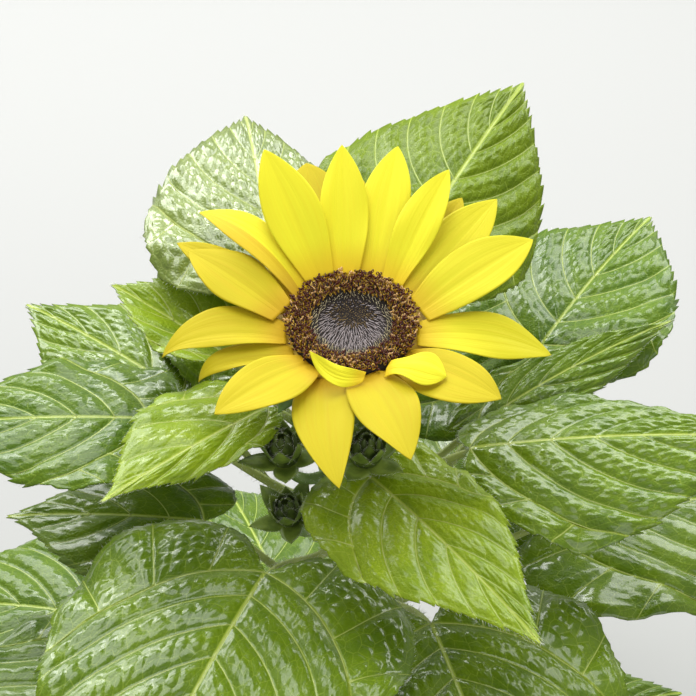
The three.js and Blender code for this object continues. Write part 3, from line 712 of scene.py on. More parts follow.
def leaf_group():
    """The leaf's own pattern: pale midrib, side veins, the net between them and a fine grain, with painted
    shade in the grain's seams.
    """
    inputs = {"Blade": "Color", "Shade": "Color", "Vein": "Color", "Relief": "Float"}
    outputs = {"Colour": "Color", "Roughness": "Float", "Normal": "Vector"}
    tree, given = node_group("leaf_net", "ShaderNodeTree", inputs, outputs)
    place = add_node(tree, "ShaderNodeTexCoord").outputs["Object"]
    cell_place = add_node(tree, "ShaderNodeUVMap", uv_map="cells").outputs[0]
    rib = add_node(tree, "ShaderNodeAttribute", attribute_name="rib").outputs["Fac"]
    midrib = add_node(tree, "ShaderNodeAttribute", attribute_name="midrib").outputs["Fac"]
    cells = cell_edges(tree, cell_place, "2D", 1, CELL_RANDOMNESS)
    fine = cell_edges(tree, place, "3D", FINE_CELL_SCALE, 1)
    strong = number(tree, "MAXIMUM", fade(tree, rib, *SIDE_LINE), fade(tree, midrib, *MIDDLE_LINE))
    weak = number(tree, "MAXIMUM", fade(tree, cells, *CELL_LINE), fade(tree, fine, *FINE_LINE))
    lines = number(tree, "MAXIMUM", strong, weak)
    clouds = fade(tree, noise(tree, place, CLOUD_SCALE, CLOUD_DETAIL), *CLOUD_FADE)
    # Random clouds of tone, and painted shade in the seams of the fine net
    dark = number(tree, "MAXIMUM", clouds, fade(tree, fine, *FINE_SEAM_SHADE))
    blade = colour_mix(tree, dark, given["Blade"], given["Shade"])
    results = {
        "Colour": colour_mix(tree, lines, blade, given["Vein"]),
        "Roughness": fade(tree, lines, *LINE_ROUGHNESS),
        "Normal": bumped(tree, fade(tree, fine, *FINE_PITS), given["Relief"]),
    }
    add_node(tree, "NodeGroupOutput", results)
    return tree


LEAF_NET = leaf_group()


def leaf_material(name, blade, shade, vein, gloss, wax):
    values = {"Blade": blade, "Shade": shade, "Vein": vein, "Relief": LEAF_RELIEF}
    material = patterned_material(name, LEAF_NET, LEAF_ROUGHNESS, gloss, **values)
    shader = material.node_tree.nodes["Principled BSDF"]
    shader.inputs["Coat Weight"].default_value = wax
    shader.inputs["Coat Roughness"].default_value = WAX_ROUGHNESS
    return material


leaf_paints = {tone: leaf_material(f"leaf_{tone}", *look) for tone, look in LEAF_TONES.items()}
for leaf_name, leaf in LEAVES.items():
    paint = leaf_paints[leaf["tone"]]
    blade = blade_sheet(f"blade_{leaf_name}", leaf, (paint, leaf_paints["back"]))
    scale = min(1.0, leaf["length"] / FULL_PILLOW_LEAF)
    small = SMALL_PILLOWS[leaf["tone"]]
    add_tree(blade, PILLOWS, Broad=BROAD_PILLOW * scale * MM, Small=small * scale * MM, Material=paint)
    shell = blade.modifiers.new("thickness", "SOLIDIFY")
    shell.thickness = BLADE_SKIN * MM
    shell.offset = -1
    shell.material_offset = 1
    settle(blade)
    hand_in(blade, f"leaf_{leaf_name}")


# Petioles and ribs
# Each blade is carried by a round pale stalk that leaves the stem, bows outwards and runs on under the blade
# as its midrib. The side ribs branch from it and thin out towards the edge. All are one grown tissue.
STALK_SIDES = 10
STALK_STEPS = 18
STALK_STIFFNESS = 0.35
STALK_ROOT_DEPTH = 0.8
PETIOLE_ROOT_RADIUS = 2.3
PETIOLE_TIP_RADIUS = 1.4
PETIOLE_RUN = 0.06
RIB_SIDES = 6
MIDRIB_STEPS = 24
SIDE_RIB_STEPS = 9
SIDE_RIB_RADIUS = 0.5
RIB_END_RADIUS = 0.14
RIB_STANDS = 0.2
MIDRIB_END = 0.97
SIDE_RIB_END = 0.95
SIDE_RIB_FALL = 0.6
LOBE_RIB_SHARE = 0.55
MIDRIB_CLEARANCE = 0.01


def stalk_path(node, end, arriving):
    """Points of a stalk from the stem at a height to its end, which it reaches in the given direction."""
    axis = stem_centre(node)
    outward = unit((end - axis) * (1, 1, 0))
    root = axis + outward * (stem_radius(node) - STALK_ROOT_DEPTH)
    reach = STALK_STIFFNESS * np.linalg.norm(end - root)
    t = np.linspace(0, 1, STALK_STEPS + 1)[:, None]
    knots = (root, root + outward * reach, end - unit(arriving) * reach, end)
    weights = ((1 - t) ** 3, 3 * t * (1 - t) ** 2, 3 * t**2 * (1 - t), t**3)
    return sum(weight * knot for weight, knot in zip(weights, knots))


def petiole_path(leaf):
    place = blade_placer(leaf)
    end = place(PETIOLE_RUN * leaf["length"], 0.0, RIB_STANDS - PETIOLE_TIP_RADIUS)
    return stalk_path(leaf["node"], end, place(0.0, 0.0) - place(-1.0, 0.0))


def petiole_radii(steps):
    share = np.sqrt(np.linspace(0, 1, steps))
    return PETIOLE_ROOT_RADIUS + (PETIOLE_TIP_RADIUS - PETIOLE_ROOT_RADIUS) * share


def rib_tubes(leaf):
    """The petiole with the midrib in line, and a thin tube under each side vein."""
    place = blade_placer(leaf)
    edge = outline_of(leaf)
    stalk = petiole_path(leaf)
    a = leaf["length"] * np.linspace(PETIOLE_RUN, MIDRIB_END, MIDRIB_STEPS)[1:]
    radii = np.linspace(PETIOLE_TIP_RADIUS, RIB_END_RADIUS, MIDRIB_STEPS)[1:]
    midrib = np.concatenate([stalk, place(a, 0 * a, RIB_STANDS - radii)])
    tubes = [tube(midrib, np.concatenate([petiole_radii(len(stalk)), radii]), STALK_SIDES)]
    u = np.linspace(0.0, SIDE_RIB_END, SIDE_RIB_STEPS)
    veins = vein_count(leaf)
    lines = []
    for k in range(veins):
        lines.append((side_vein(leaf, edge, np.full_like(u, k / veins), u), 1 - SIDE_RIB_FALL * k / veins))
    for k in range(1, LOBE_VEINS):
        lines.append((lobe_vein(leaf, edge, np.full_like(u, k / LOBE_VEINS), u), LOBE_RIB_SHARE))
    for line, share in lines:
        radii = RIB_END_RADIUS + (SIDE_RIB_RADIUS * share - RIB_END_RADIUS) * (1 - u)
        for side in (1, -1):
            across = side * np.maximum(line[:, 1], MIDRIB_CLEARANCE)
            tubes.append(tube(place(line[:, 0], across, RIB_STANDS - radii), radii, RIB_SIDES))
    return tubes


petiole_green = mottled_material("petiole_green", (0.48, 0.56, 0.15), (0.38, 0.45, 0.10), 90, 0.45)
stalk_shapes = joined([shape for leaf in LEAVES.values() for shape in rib_tubes(leaf)])
hand_in(piece_of("petioles", stalk_shapes, petiole_green))


# Hairs
# Stiff white bristles stand on the stem, the petioles and the edges of the blades. Each is a three-sided
# spike that a node tree sets on a root point, along the direction that the root carries.
HAIR_LENGTH = 2.0
HAIR_RADIUS = 0.09
HAIR_SIDES = 3
HAIR_SPREAD = 0.45
HAIR_SIZES = (0.6, 1.3)
HAIR_LEAN = 0.25
HAIR_SEED = 11
STEM_HAIRS = 2600
STEM_HAIRS_FROM = 2
STEM_HAIRS_BELOW_TOP = 4
PETIOLE_HAIRS_PER_MM = 3.5
EDGE_HAIR_LENGTH = 1.5


def sprout_tree():
    """Sets a shape on each point, turned to the point's aim, tilted and sized a little at random."""
    inputs = {"Shape": "Object", "Tilt": "Float", "Least": "Float", "Most": "Float", "Seed": "Int"}
    tree, given = geometry_tree("sprouts", inputs)
    tilt = given["Tilt"]
    less = number(tree, "MULTIPLY", tilt, -1.0)
    low = add_node(tree, "ShaderNodeCombineXYZ", {"X": less, "Y": less}).outputs[0]
    high = add_node(tree, "ShaderNodeCombineXYZ", {"X": tilt, "Y": tilt, "Z": 2 * math.pi}).outputs[0]
    inputs = {"Min": low, "Max": high, "Seed": given["Seed"]}
    turn = add_node(tree, "FunctionNodeRandomValue", inputs, data_type="FLOAT_VECTOR")
    euler = add_node(tree, "FunctionNodeEulerToRotation", {0: turn.outputs["Value"]})
    inputs = {"Vector": named(tree, "aim", "FLOAT_VECTOR")}
    aim = add_node(tree, "FunctionNodeAlignRotationToVector", inputs, axis="Z")
    inputs = {"Rotation": aim.outputs[0], "Rotate By": euler.outputs[0]}
    spin = add_node(tree, "FunctionNodeRotateRotation", inputs, rotation_space="LOCAL")
    # Inputs 2 and 3 of the random value are its limits as a plain number
    inputs = {2: given["Least"], 3: given["Most"], "Seed": given["Seed"]}
    size = add_node(tree, "FunctionNodeRandomValue", inputs, data_type="FLOAT")
    inputs = {
        "Points": add_node(tree, "GeometryNodeMeshToPoints", {"Mesh": given["Geometry"]}).outputs[0],
        "Instance": add_node(tree, "GeometryNodeObjectInfo", {"Object": given["Shape"]}).outputs["Geometry"],
        "Rotation": spin.outputs[0],
        "Scale": number(tree, "MULTIPLY", size.outputs[1], named(tree, "size")),
    }
    return end_tree(tree, given, add_node(tree, "GeometryNodeInstanceOnPoints", inputs).outputs[0])


SPROUTS = sprout_tree()


def sprouts(name, shape, roots, aims, sizes, tilt, least, most, seed, material):
    """One mesh with a copy of a shape on every root."""
    piece = piece_of(name, (roots, []))
    note_points(piece.data, "aim", unit(np.asarray(aims)))
    note_points(piece.data, "size", np.broadcast_to(sizes, len(roots)))
    shape_object = piece_of(f"{name}_shape", shape, material)
    values = {"Shape": shape_object, "Tilt": tilt, "Least": least, "Most": most, "Seed": seed}
    add_tree(piece, SPROUTS, **values, Material=material)
    settle(piece)
    bpy.data.objects.remove(shape_object)
    for attribute in ("aim", "size"):
        if attribute in piece.data.attributes:
            piece.data.attributes.remove(piece.data.attributes[attribute])
    return piece


def spike(radius, length, sides):
    """A slender closed cone that stands on the origin."""
    turns = np.linspace(0, 360, sides, endpoint=False)
    points = np.concatenate([turned(turns, radius), [(0, 0, length)]])
    faces = [(s, (s + 1) % sides, sides) for s in range(sides)]
    faces.append(tuple(reversed(range(sides))))
    return points, faces


def tube_roots(path, radii, per_mm, seed):
    """Root points scattered round a tube, with the directions that point away from it."""
    random = np.random.default_rng(seed)
    steps = np.linalg.norm(np.diff(path, axis=0), axis=1)
    run = np.concatenate([[0], np.cumsum(steps)])
    places = np.sort(random.uniform(0, run[-1], round(per_mm * run[-1])))
    centres = np.stack([np.interp(places, run, path[:, i]) for i in range(3)], -1)
    ahead = unit(np.stack([np.interp(places, run, np.gradient(path[:, i])) for i in range(3)], -1))
    side = unit(np.cross(ahead, ASIDE))
    other = np.cross(ahead, side)
    angle = random.uniform(0, 2 * np.pi, len(places))[:, None]
    out = np.cos(angle) * side + np.sin(angle) * other
    return centres + out * np.interp(places, run, radii)[:, None], out + HAIR_LEAN * ahead


def edge_roots(leaf):
    """Root points along the teeth of a blade, with the directions that point off its edge."""
    place = blade_placer(leaf)
    roots, aims = [], []
    for side in (1, -1):
        for patch in blade_patches(leaf):
            last = patch["points"][:, -1]
            inner = patch["points"][:, -2]
            outer = place(last[:, 0], side * last[:, 1])
            roots.append(outer)
            aims.append(outer - place(inner[:, 0], side * inner[:, 1]))
    return np.concatenate(roots), np.concatenate(aims)


hair_white = matt_material("hair_white", (0.80, 0.84, 0.70), 0.6)
hair_shape = spike(HAIR_RADIUS, HAIR_LENGTH, HAIR_SIDES)


def hairs(name, roots_and_aims, sizes):
    """One piece with a hair on every root."""
    roots, aims = (np.concatenate(parts) for parts in zip(*roots_and_aims))
    look = (HAIR_SPREAD, *HAIR_SIZES, HAIR_SEED, hair_white)
    hand_in(sprouts(name, hair_shape, roots, aims, sizes, *look))


random = np.random.default_rng(HAIR_SEED)
hair_heights = random.uniform(STEM_HAIRS_FROM, STEM_HEIGHT - STEM_HAIRS_BELOW_TOP, STEM_HAIRS)
hair_out = turned(random.uniform(0, 360, STEM_HAIRS))
hair_roots = stem_centre(hair_heights) + hair_out * stem_radius(hair_heights)[:, None]
hairs("stem_hairs", [(hair_roots, hair_out)], 1.0)

stalk_hairs = [
    tube_roots(petiole_path(leaf), petiole_radii(STALK_STEPS + 1), PETIOLE_HAIRS_PER_MM, HAIR_SEED + i)
    for i, leaf in enumerate(LEAVES.values())
]
edge_hairs = [edge_roots(leaf) for leaf in LEAVES.values()]
hair_counts = [sum(len(roots) for roots, _ in group) for group in (stalk_hairs, edge_hairs)]
hair_sizes = np.repeat((1.0, EDGE_HAIR_LENGTH / HAIR_LENGTH), hair_counts)
hairs("leaf_hairs", stalk_hairs + edge_hairs, hair_sizes)


# Bloom cup
# A green funnel at the head of the stem carries the disc. Two rows of pointed, hairy bracts grow from its
# flank and spread under the rays. The funnel is turned in the round, and each bract is a thin curved blade.
BLOOM_CENTRE = np.array((2.0, -14.0, 380.0))
BLOOM_TILT = 10
DISC_RADIUS = 23
# Profiles of turned solids give a row of radii, then a row of heights
CUP_PROFILE = ((0, 4.6, 8, 15, 21, 23.8, 23.8, 0), (-16, -16, -13.4, -10.4, -8, -6.2, -5.2, -5.2))
CUP_SIDES = 72
BRACT_THICKNESS = 0.9
CUP_RELAX = 0.8
STRIP_FULLNESS = 0.84
HOOK_START = 0.72
BRACT_FIELDS = "count radius depth length width rise bend offset"
BRACT_ROWS = (
    (11, 19, -8.2, 23, 10.8, -10, 18, 0),
    (9, 14, -11, 22, 12.7, -16, 24, 16),
)
BRACT_FORM = {"roll": 0, "cup": 10, "hook": 0, "sweep": 0, "skew": 0, "peak": 0.8}
BRACT_NET = {"root_share": 0.7, "rows": 14, "columns": 6}
BRACT_RIM = 0.25
BRACT_HOLLOW = 0.2
RIM_THINNING = 0.6
WELD_GAP = 0.005

bloom_axis = np.array((0, -math.sin(math.radians(BLOOM_TILT)), math.cos(math.radians(BLOOM_TILT))))
bloom_right = np.array((1.0, 0.0, 0.0))
bloom_back = np.cross(bloom_axis, bloom_right)


def bloom_out(degrees):
    angle = np.radians(degrees)[..., None]
    return np.cos(angle) * bloom_right + np.sin(angle) * bloom_back


def bloom_point(radius, degrees, height):
    radius, height = np.asarray(radius), np.asarray(height)
    return BLOOM_CENTRE + radius[..., None] * bloom_out(degrees) + height[..., None] * bloom_axis


def lathed(profile, sides, centre, right, back, axis):
    """A solid of revolution whose profile starts and ends on the axis."""
    turns = np.linspace(0, 2 * np.pi, sides, endpoint=False)[None, :, None]
    r, z = np.array(profile, float)[:, 1:-1, None, None]
    rings = centre + r * (np.cos(turns) * right + np.sin(turns) * back) + z * axis
    return rings.reshape(-1, 3), ring_faces(len(r), sides)


def bloom_lathed(profile, sides):
    return lathed(profile, sides, BLOOM_CENTRE, bloom_right, bloom_back, bloom_axis)


def strip_placer(root, ahead, up, form):
    """Where a strip's point lies: it runs ahead from its root, sloped against the plane across up."""
    length = form["length"]
    level = np.cross(up, ahead)
    bend = np.radians(form["bend"])
    last_fall = np.radians(form["hook"]) + bend * (1 - HOOK_START)
    roll = np.radians(form["roll"])
    cup = np.radians(form["cup"])

    def place(a, b, lift):
        evenly = np.minimum(a, HOOK_START * length)
        reach, rise, slope = arc(evenly, np.radians(form["rise"]), bend, length)
        last_reach, last_rise, slope = arc(a - evenly, slope, last_fall, (1 - HOOK_START) * length)
        breadth = np.abs(b) * (1 + form["skew"] * np.sign(b))
        out, high, tilt = arc(breadth, cup, cup * CUP_RELAX, form["width"] / 2)
        bow = 4 * form["sweep"] * a * (length - a) / length**2
        tangent = np.cos(slope)[..., None] * ahead + np.sin(slope)[..., None] * up
        side = np.cos(roll) * level + np.sin(roll) * np.cross(tangent, level)
        normal = np.cross(tangent, side)
        spine = root + (reach + last_reach)[..., None] * ahead + (rise + last_rise)[..., None] * up
        outward = (np.sign(b) * (out - lift * np.sin(tilt)))[..., None]
        upward = (high + lift * np.cos(tilt))[..., None]
        return spine + bow[..., None] * level + side * outward + normal * upward

    return place


def strip(place, form, net, thickness, relief=None):
    """A closed strip with a pointed tip: its points, its faces (upper, lower, rim), each point's place."""
    rows, columns = net["rows"], net["columns"]
    shares, sides = np.linspace(0, 1, rows + 1), np.linspace(-1, 1, columns + 1)
    share, side = np.meshgrid(shares, sides, indexing="ij")
    swell = np.sin(np.pi * share ** form["peak"]) ** STRIP_FULLNESS
    full = swell * (1 - net["root_share"] / 2) + net["root_share"] * (1 - share)
    across = np.where(share == 1, 0, 0.5 * form["width"] * full)
    lift = 0 * share if relief is None else relief(share, side)
    half = 0.5 * thickness * (1 - RIM_THINNING * side**2)
    upper = place(form["length"] * share, across * side, lift + half)
    lower = place(form["length"] * share, across * side, lift - half)
    points = np.concatenate([upper.reshape(-1, 3), lower.reshape(-1, 3)])
    wide = columns + 1
    below = (rows + 1) * wide
    faces = []
    for r in range(rows):
        for c in range(columns):
            i = r * wide + c
            faces.append((i, i + wide, i + wide + 1, i + 1))
    faces += [tuple(below + i for i in reversed(face)) for face in faces]
    for r in range(rows):
        near, far = r * wide, (r + 1) * wide
        faces.append((far, near, below + near, below + far))
        faces.append((near + columns, far + columns, below + far + columns, below + near + columns))
    for c in range(columns):
        faces.append((c, c + 1, below + c + 1, below + c))
    return points, faces, np.tile(np.stack([side.ravel(), share.ravel()], -1), (2, 1))


def bract_relief(share, side):
    return BRACT_RIM * np.abs(side) - BRACT_HOLLOW


def bract(root, ahead, up, form):
    form = {**form, **BRACT_FORM}
    return strip(strip_placer(root, ahead, up, form), form, BRACT_NET, BRACT_THICKNESS, bract_relief)[:2]


def strip_edge(points, net):
    """The rim points of a strip's upper side, and the directions that point off it."""
    rows, columns = net["rows"], net["columns"]
    grid = points[: (rows + 1) * (columns + 1)].reshape(rows + 1, columns + 1, 3)[1:-1]
    roots = np.concatenate([grid[:, 0], grid[:, -1]])
    return roots, np.concatenate([grid[:, 0] - grid[:, 1], grid[:, -1] - grid[:, -2]])


bract_green = mottled_material("bract_green", (0.17, 0.31, 0.05), (0.10, 0.20, 0.035), 120, 0.5)
bract_shapes = []
bract_hairs = []
for row in BRACT_ROWS:
    form = dict(zip(BRACT_FIELDS.split(), row))
    for i in range(form["count"]):
        out = bloom_out(360 * i / form["count"] + form["offset"])
        root = BLOOM_CENTRE + form["radius"] * out + form["depth"] * bloom_axis
        bract_shapes.append(bract(root, out, bloom_axis, form))
        bract_hairs.append(strip_edge(bract_shapes[-1][0], BRACT_NET))
cup_shapes = joined([bloom_lathed(CUP_PROFILE, CUP_SIDES), *bract_shapes])
cup = piece_of("bloom_bracts", cup_shapes, bract_green)
weld(cup.data, WELD_GAP)
hand_in(cup, "bloom_cup")


# Side buds
# Three closed buds stand on short hairy stalks under the bloom: a round dark green core wrapped in whorls
# of pointed bracts. The lowest whorl spreads open, and the others curve up round the core. The core and the
# closed whorls take a much darker copy of the bud green, their own deeper green partly darkened as painted
# shade.
BUD_BRACT = {"length": 1.05, "width": 0.53, "root_out": 0.225, "root_up": 0.15}
BUD_WHORLS = (
    {"count": 5, "turn": 20, "grow": 1.25, "lift": -0.06, "rise": 14, "bend": -30},
    {"count": 6, "turn": 0, "grow": 1.0, "lift": 0.0, "rise": 48, "bend": -42},
    {"count": 6, "turn": 30, "grow": 0.92, "lift": 0.08, "rise": 58, "bend": -52},
    {"count": 5, "turn": 12, "grow": 0.8, "lift": 0.2, "rise": 68, "bend": -62},
)
BUD_PROFILE = ((0, 0.34, 0.8, 1, 0.95, 0.86, 0.5, 0), (0, 0, 0.25, 0.75, 1.05, 1.25, 1.6, 1.7))
BUD_SIDES = 32
STALK_ROOT_RADIUS = 2.6
STALK_TIP_RADIUS = 1.9
OPEN_WHORLS = 2
BRACT_HAIR_SIZE = 0.8
BUDS = (
    {"node": 302, "turn": -124, "reach": 40.5, "height": 335, "size": 13, "lean": 10},
    {"node": 274, "turn": -122, "reach": 40.5, "height": 304, "size": 11.5, "lean": 16},
    {"node": 320, "turn": -79, "reach": 36.5, "height": 337, "size": 13, "lean": 10},
)
bud_green = mottled_material("bud_green", (0.27, 0.37, 0.06), (0.14, 0.21, 0.03), 160, 0.4)
# Painted shade, in part: the darker copy of the bud green, for the core and the closed whorls
bud_dark_and_shaded = mottled_material("bud_dark_and_shaded", (0.11, 0.16, 0.025), (0.035, 0.055, 0.01), 160, 0.35)
for i, bud in enumerate(BUDS, start=1):
    radius = bud["size"] / 2
    lean = math.radians(bud["lean"])
    axis = turned(bud["turn"]) * math.sin(lean) + np.array((0, 0, math.cos(lean)))
    foot = turned(bud["turn"], bud["reach"]) + (0, 0, bud["height"] - radius)
    right = unit(np.cross((0, 0, 1.0), axis))
    back = np.cross(axis, right)
    shapes = [lathed(radius * np.array(BUD_PROFILE), BUD_SIDES, foot, right, back, axis)]
    dark_and_shaded_faces = [True] * len(shapes[0][1])
    for w, whorl in enumerate(BUD_WHORLS):
        for k in range(whorl["count"]):
            angle = math.radians(360 * k / whorl["count"] + whorl["turn"])
            out = math.cos(angle) * right + math.sin(angle) * back
            root = foot + out * BUD_BRACT["root_out"] * bud["size"]
            root = root + axis * (BUD_BRACT["root_up"] + whorl["lift"]) * bud["size"]
            sizes = {key: BUD_BRACT[key] * whorl["grow"] * bud["size"] for key in ("length", "width")}
            shapes.append(bract(root, out, axis, {**whorl, **sizes}))
            # The core and the closed whorls take the darker copy, partly painted shade
            dark_and_shaded_faces += [w >= OPEN_WHORLS] * len(shapes[-1][1])
            bract_hairs.append(strip_edge(shapes[-1][0], BRACT_NET))
    wrapped = piece_of(f"bud_wrapped_{i:02}", joined(shapes), bud_green, bud_dark_and_shaded)
    wrapped.data.polygons.foreach_set("material_index", np.array(dark_and_shaded_faces, np.int32))
    weld(wrapped.data, WELD_GAP)
    hand_in(wrapped, f"bud_{i:02}")
    path = stalk_path(bud["node"], foot, axis)
    radii = np.linspace(STALK_ROOT_RADIUS, STALK_TIP_RADIUS, len(path))
    bract_hairs.append(tube_roots(path, radii, PETIOLE_HAIRS_PER_MM, HAIR_SEED + i))
    stalk = piece_of(f"bud_stalk_skin_{i:02}", tube(path, radii, STALK_SIDES), stem_green)
    hand_in(stalk, f"bud_stalk_{i:02}")
hairs("bract_hairs", bract_hairs, BRACT_HAIR_SIZE)


# Disc
# Hundreds of tiny florets on one dark cushion, set out in the spirals that a sunflower grows. The cushion's
# dark brown is made near black as painted shade in the gaps between the florets. The outer ones are open:
# an ochre tube, a maroon column and curled stigmas, some of them pale tan, partly pollen dust and partly
# painted glints. Inside are cream and grey tips, with darker olive tips on the upper middle as painted shade.
DISC_PROFILE = ((0, 23, 23.1, 22, 18, 14, 9, 3, 0), (-4.8, -4.8, -2.9, -1.9, -1.9, -3.0, -3.9, -4.2, -4.2))
DISC_SIDES = 96
GOLDEN_ANGLE = 137.508
FLORET_LIMIT = 22.8
FLORET_SHAKE = 0.15
OPEN_COUNT = 950
SHUT_COUNT = 1600
OPEN_FROM = 15.4
PALE_FROM = 13.0
# Painted shade: the shut tips in an oval on the upper middle of the disc take a darker olive colour, the rest
# a lit grey
SHADED_MIDDLE = 5.5
SHADED_SIZE = (7.5, 6.0)
SHADED_BLUR = 0.4
# The share of pale tan stigmas: partly pollen dust, partly painted glints on the glossy maroon stigmas
POLLEN_AND_GLINT_SHARE = 0.18
FLORET_TILT = 0.26
FLORET_SIZES = (0.8, 1.25)
SHADED_TIP_SIZE = 0.85
DISC_SEED = 5
# How florets lean outwards, in degrees, and how big they are, by their distance from the disc's centre
OPEN_LEANS = ((15, 19, 21.5, 23), (-8, 4, 20, 38))
RING_LEANS = ((0,), (-22,))
SHUT_LEANS = ((0, 4, 13), (0, -38, -50))
OPEN_SIZES = ((19, 23), (1.0, 1.3))
# Tubes, as rows of x, y, z and radius in millimetres
COROLLA = ((0, 0, -0.3, 0.2), (0, 0, 0.6, 0.3), (0, 0, 1.3, 0.38), (0, 0, 1.8, 0.54))
COLUMN = ((0, 0, -0.3, 0.2), (0, 0, 0.9, 0.27), (0, 0, 1.8, 0.27), (0, 0, 2.3, 0.14))
PALE_TIP = ((0, 0, 0.1, 0.07), (0.07, 0, 0.8, 0.115), (0, 0.05, 1.5, 0.115), (-0.1, 0, 2.1, 0.04))
CURL_STEPS = 9
CURL_TURN = 290
CURL_RADIUS = 0.44
CURL_TIGHTENING = 0.25
CURL_HEIGHT = 1.95
CURL_RISE = 0.5
CURL_RISE_SPEED = 3
CURL_SHIFT = 0.06
CURL_THICKNESS = (0.18, 0.12)
CURL_SIDES = 4


def disc_height(radius):
    radii, heights = np.array(DISC_PROFILE)[:, :1:-1]
    return np.interp(radius, radii, heights)


def florets_between(nearest, furthest, count, leans):
    """Places on the disc between two radii, on its spirals: radius, turn, root and aim of each."""
    n = np.arange(count) + 0.5
    shake = np.random.default_rng(DISC_SEED).uniform(-FLORET_SHAKE, FLORET_SHAKE, count)
    radius = FLORET_LIMIT * np.sqrt(n / count) + shake
    keep = (radius >= nearest) & (radius < furthest)
    radius, turn = radius[keep], GOLDEN_ANGLE * n[keep]
    lean = np.radians(np.interp(radius, *leans))[:, None]
    aims = np.cos(lean) * bloom_axis + np.sin(lean) * bloom_out(turn)
    return radius, turn, bloom_point(radius, turn, disc_height(radius)), aims

def row_tube(rows, sides):
    rows = np.array(rows)
    return tube(rows[:, :3], rows[:, 3], sides)


def curl(sideways):
    """One curled stigma arm: a thin tube that rises, leans over to one side and rolls back under itself."""
    t = np.linspace(0, 1, CURL_STEPS)
    angle = np.radians(CURL_TURN) * t
    reach = CURL_RADIUS * (1 - CURL_TIGHTENING * t)
    x = sideways * (CURL_RADIUS - reach * np.cos(angle))
    z = CURL_HEIGHT + reach * np.sin(angle) + CURL_RISE * np.minimum(t * CURL_RISE_SPEED, 1)
    return tube(np.stack([x, CURL_SHIFT * t, z], -1), np.linspace(*CURL_THICKNESS, len(t)), CURL_SIDES)


corolla = row_tube(COROLLA, sides=5)
column = row_tube(COLUMN, sides=6)
pale_tip = row_tube(PALE_TIP, sides=4)
curls = joined([curl(1), curl(-1)])
# Painted shade: the cushion's own dark brown is made near black, for the deep shade in the gaps between the
# florets
cushion_brown_and_gap_shade = mottled_material("cushion_brown_and_gap_shade", (0.022, 0.013, 0.009), (0.010, 0.006, 0.005), 300, 0.8)
cushion = piece_of("disc_cushion", bloom_lathed(DISC_PROFILE, DISC_SIDES), cushion_brown_and_gap_shade)
hand_in(cushion, "bloom_disc")

open_radius, _, open_roots, open_aims = florets_between(OPEN_FROM, DISC_RADIUS, OPEN_COUNT, OPEN_LEANS)
open_florets = (open_roots, open_aims, np.interp(open_radius, *OPEN_SIZES))
# Pale tan stigmas dealt out at random: partly pollen dust, partly painted glints
is_pollen_and_glint = np.random.default_rng(DISC_SEED).uniform(size=len(open_radius)) < POLLEN_AND_GLINT_SHARE
_, _, ring_roots, ring_aims = florets_between(PALE_FROM, OPEN_FROM, SHUT_COUNT, RING_LEANS)
shut_radius, shut_turn, shut_roots, shut_aims = florets_between(0, PALE_FROM, SHUT_COUNT, SHUT_LEANS)
shut_back = np.sin(np.radians(shut_turn)) * shut_radius
shut_right = np.cos(np.radians(shut_turn)) * shut_radius
shut_blur = np.random.default_rng(DISC_SEED).uniform(-SHADED_BLUR, SHADED_BLUR, len(shut_radius))
shut_off = np.hypot(shut_right / SHADED_SIZE[0], (shut_back - SHADED_MIDDLE) / SHADED_SIZE[1])
shaded = shut_off + shut_blur < 1

# The kinds of floret part: name, shape, roots with aims and sizes, colour and roughness
DISC_KINDS = (
    ("disc_corollas", corolla, open_florets, (0.62, 0.38, 0.04), 0.6),
    ("disc_columns", column, open_florets, (0.040, 0.010, 0.010), 0.4),
    ("disc_dark_curls", curls, [part[~is_pollen_and_glint] for part in open_florets], (0.095, 0.014, 0.008), 0.35),
    ("disc_tan_curls", curls, [part[is_pollen_and_glint] for part in open_florets], (0.74, 0.46, 0.19), 0.4),
    ("disc_cream_tips", pale_tip, (ring_roots, ring_aims, 1.0), (0.84, 0.76, 0.50), 0.5),
    # The grey tips and the darker olive tips are lit and shaded copies of the same tips: painted shade on the
    # upper middle
    ("disc_grey_tips", pale_tip, (shut_roots[~shaded], shut_aims[~shaded], 1.0), (0.58, 0.51, 0.52), 0.5),
    ("disc_moss_tips", pale_tip, (shut_roots[shaded], shut_aims[shaded], SHADED_TIP_SIZE), (0.36, 0.24, 0.08), 0.6),
)
for kind_name, shape, placed, colour, roughness in DISC_KINDS:
    paint = matt_material(kind_name, colour, roughness)
    hand_in(sprouts(kind_name, shape, *placed, FLORET_TILT, *FLORET_SIZES, DISC_SEED, paint))



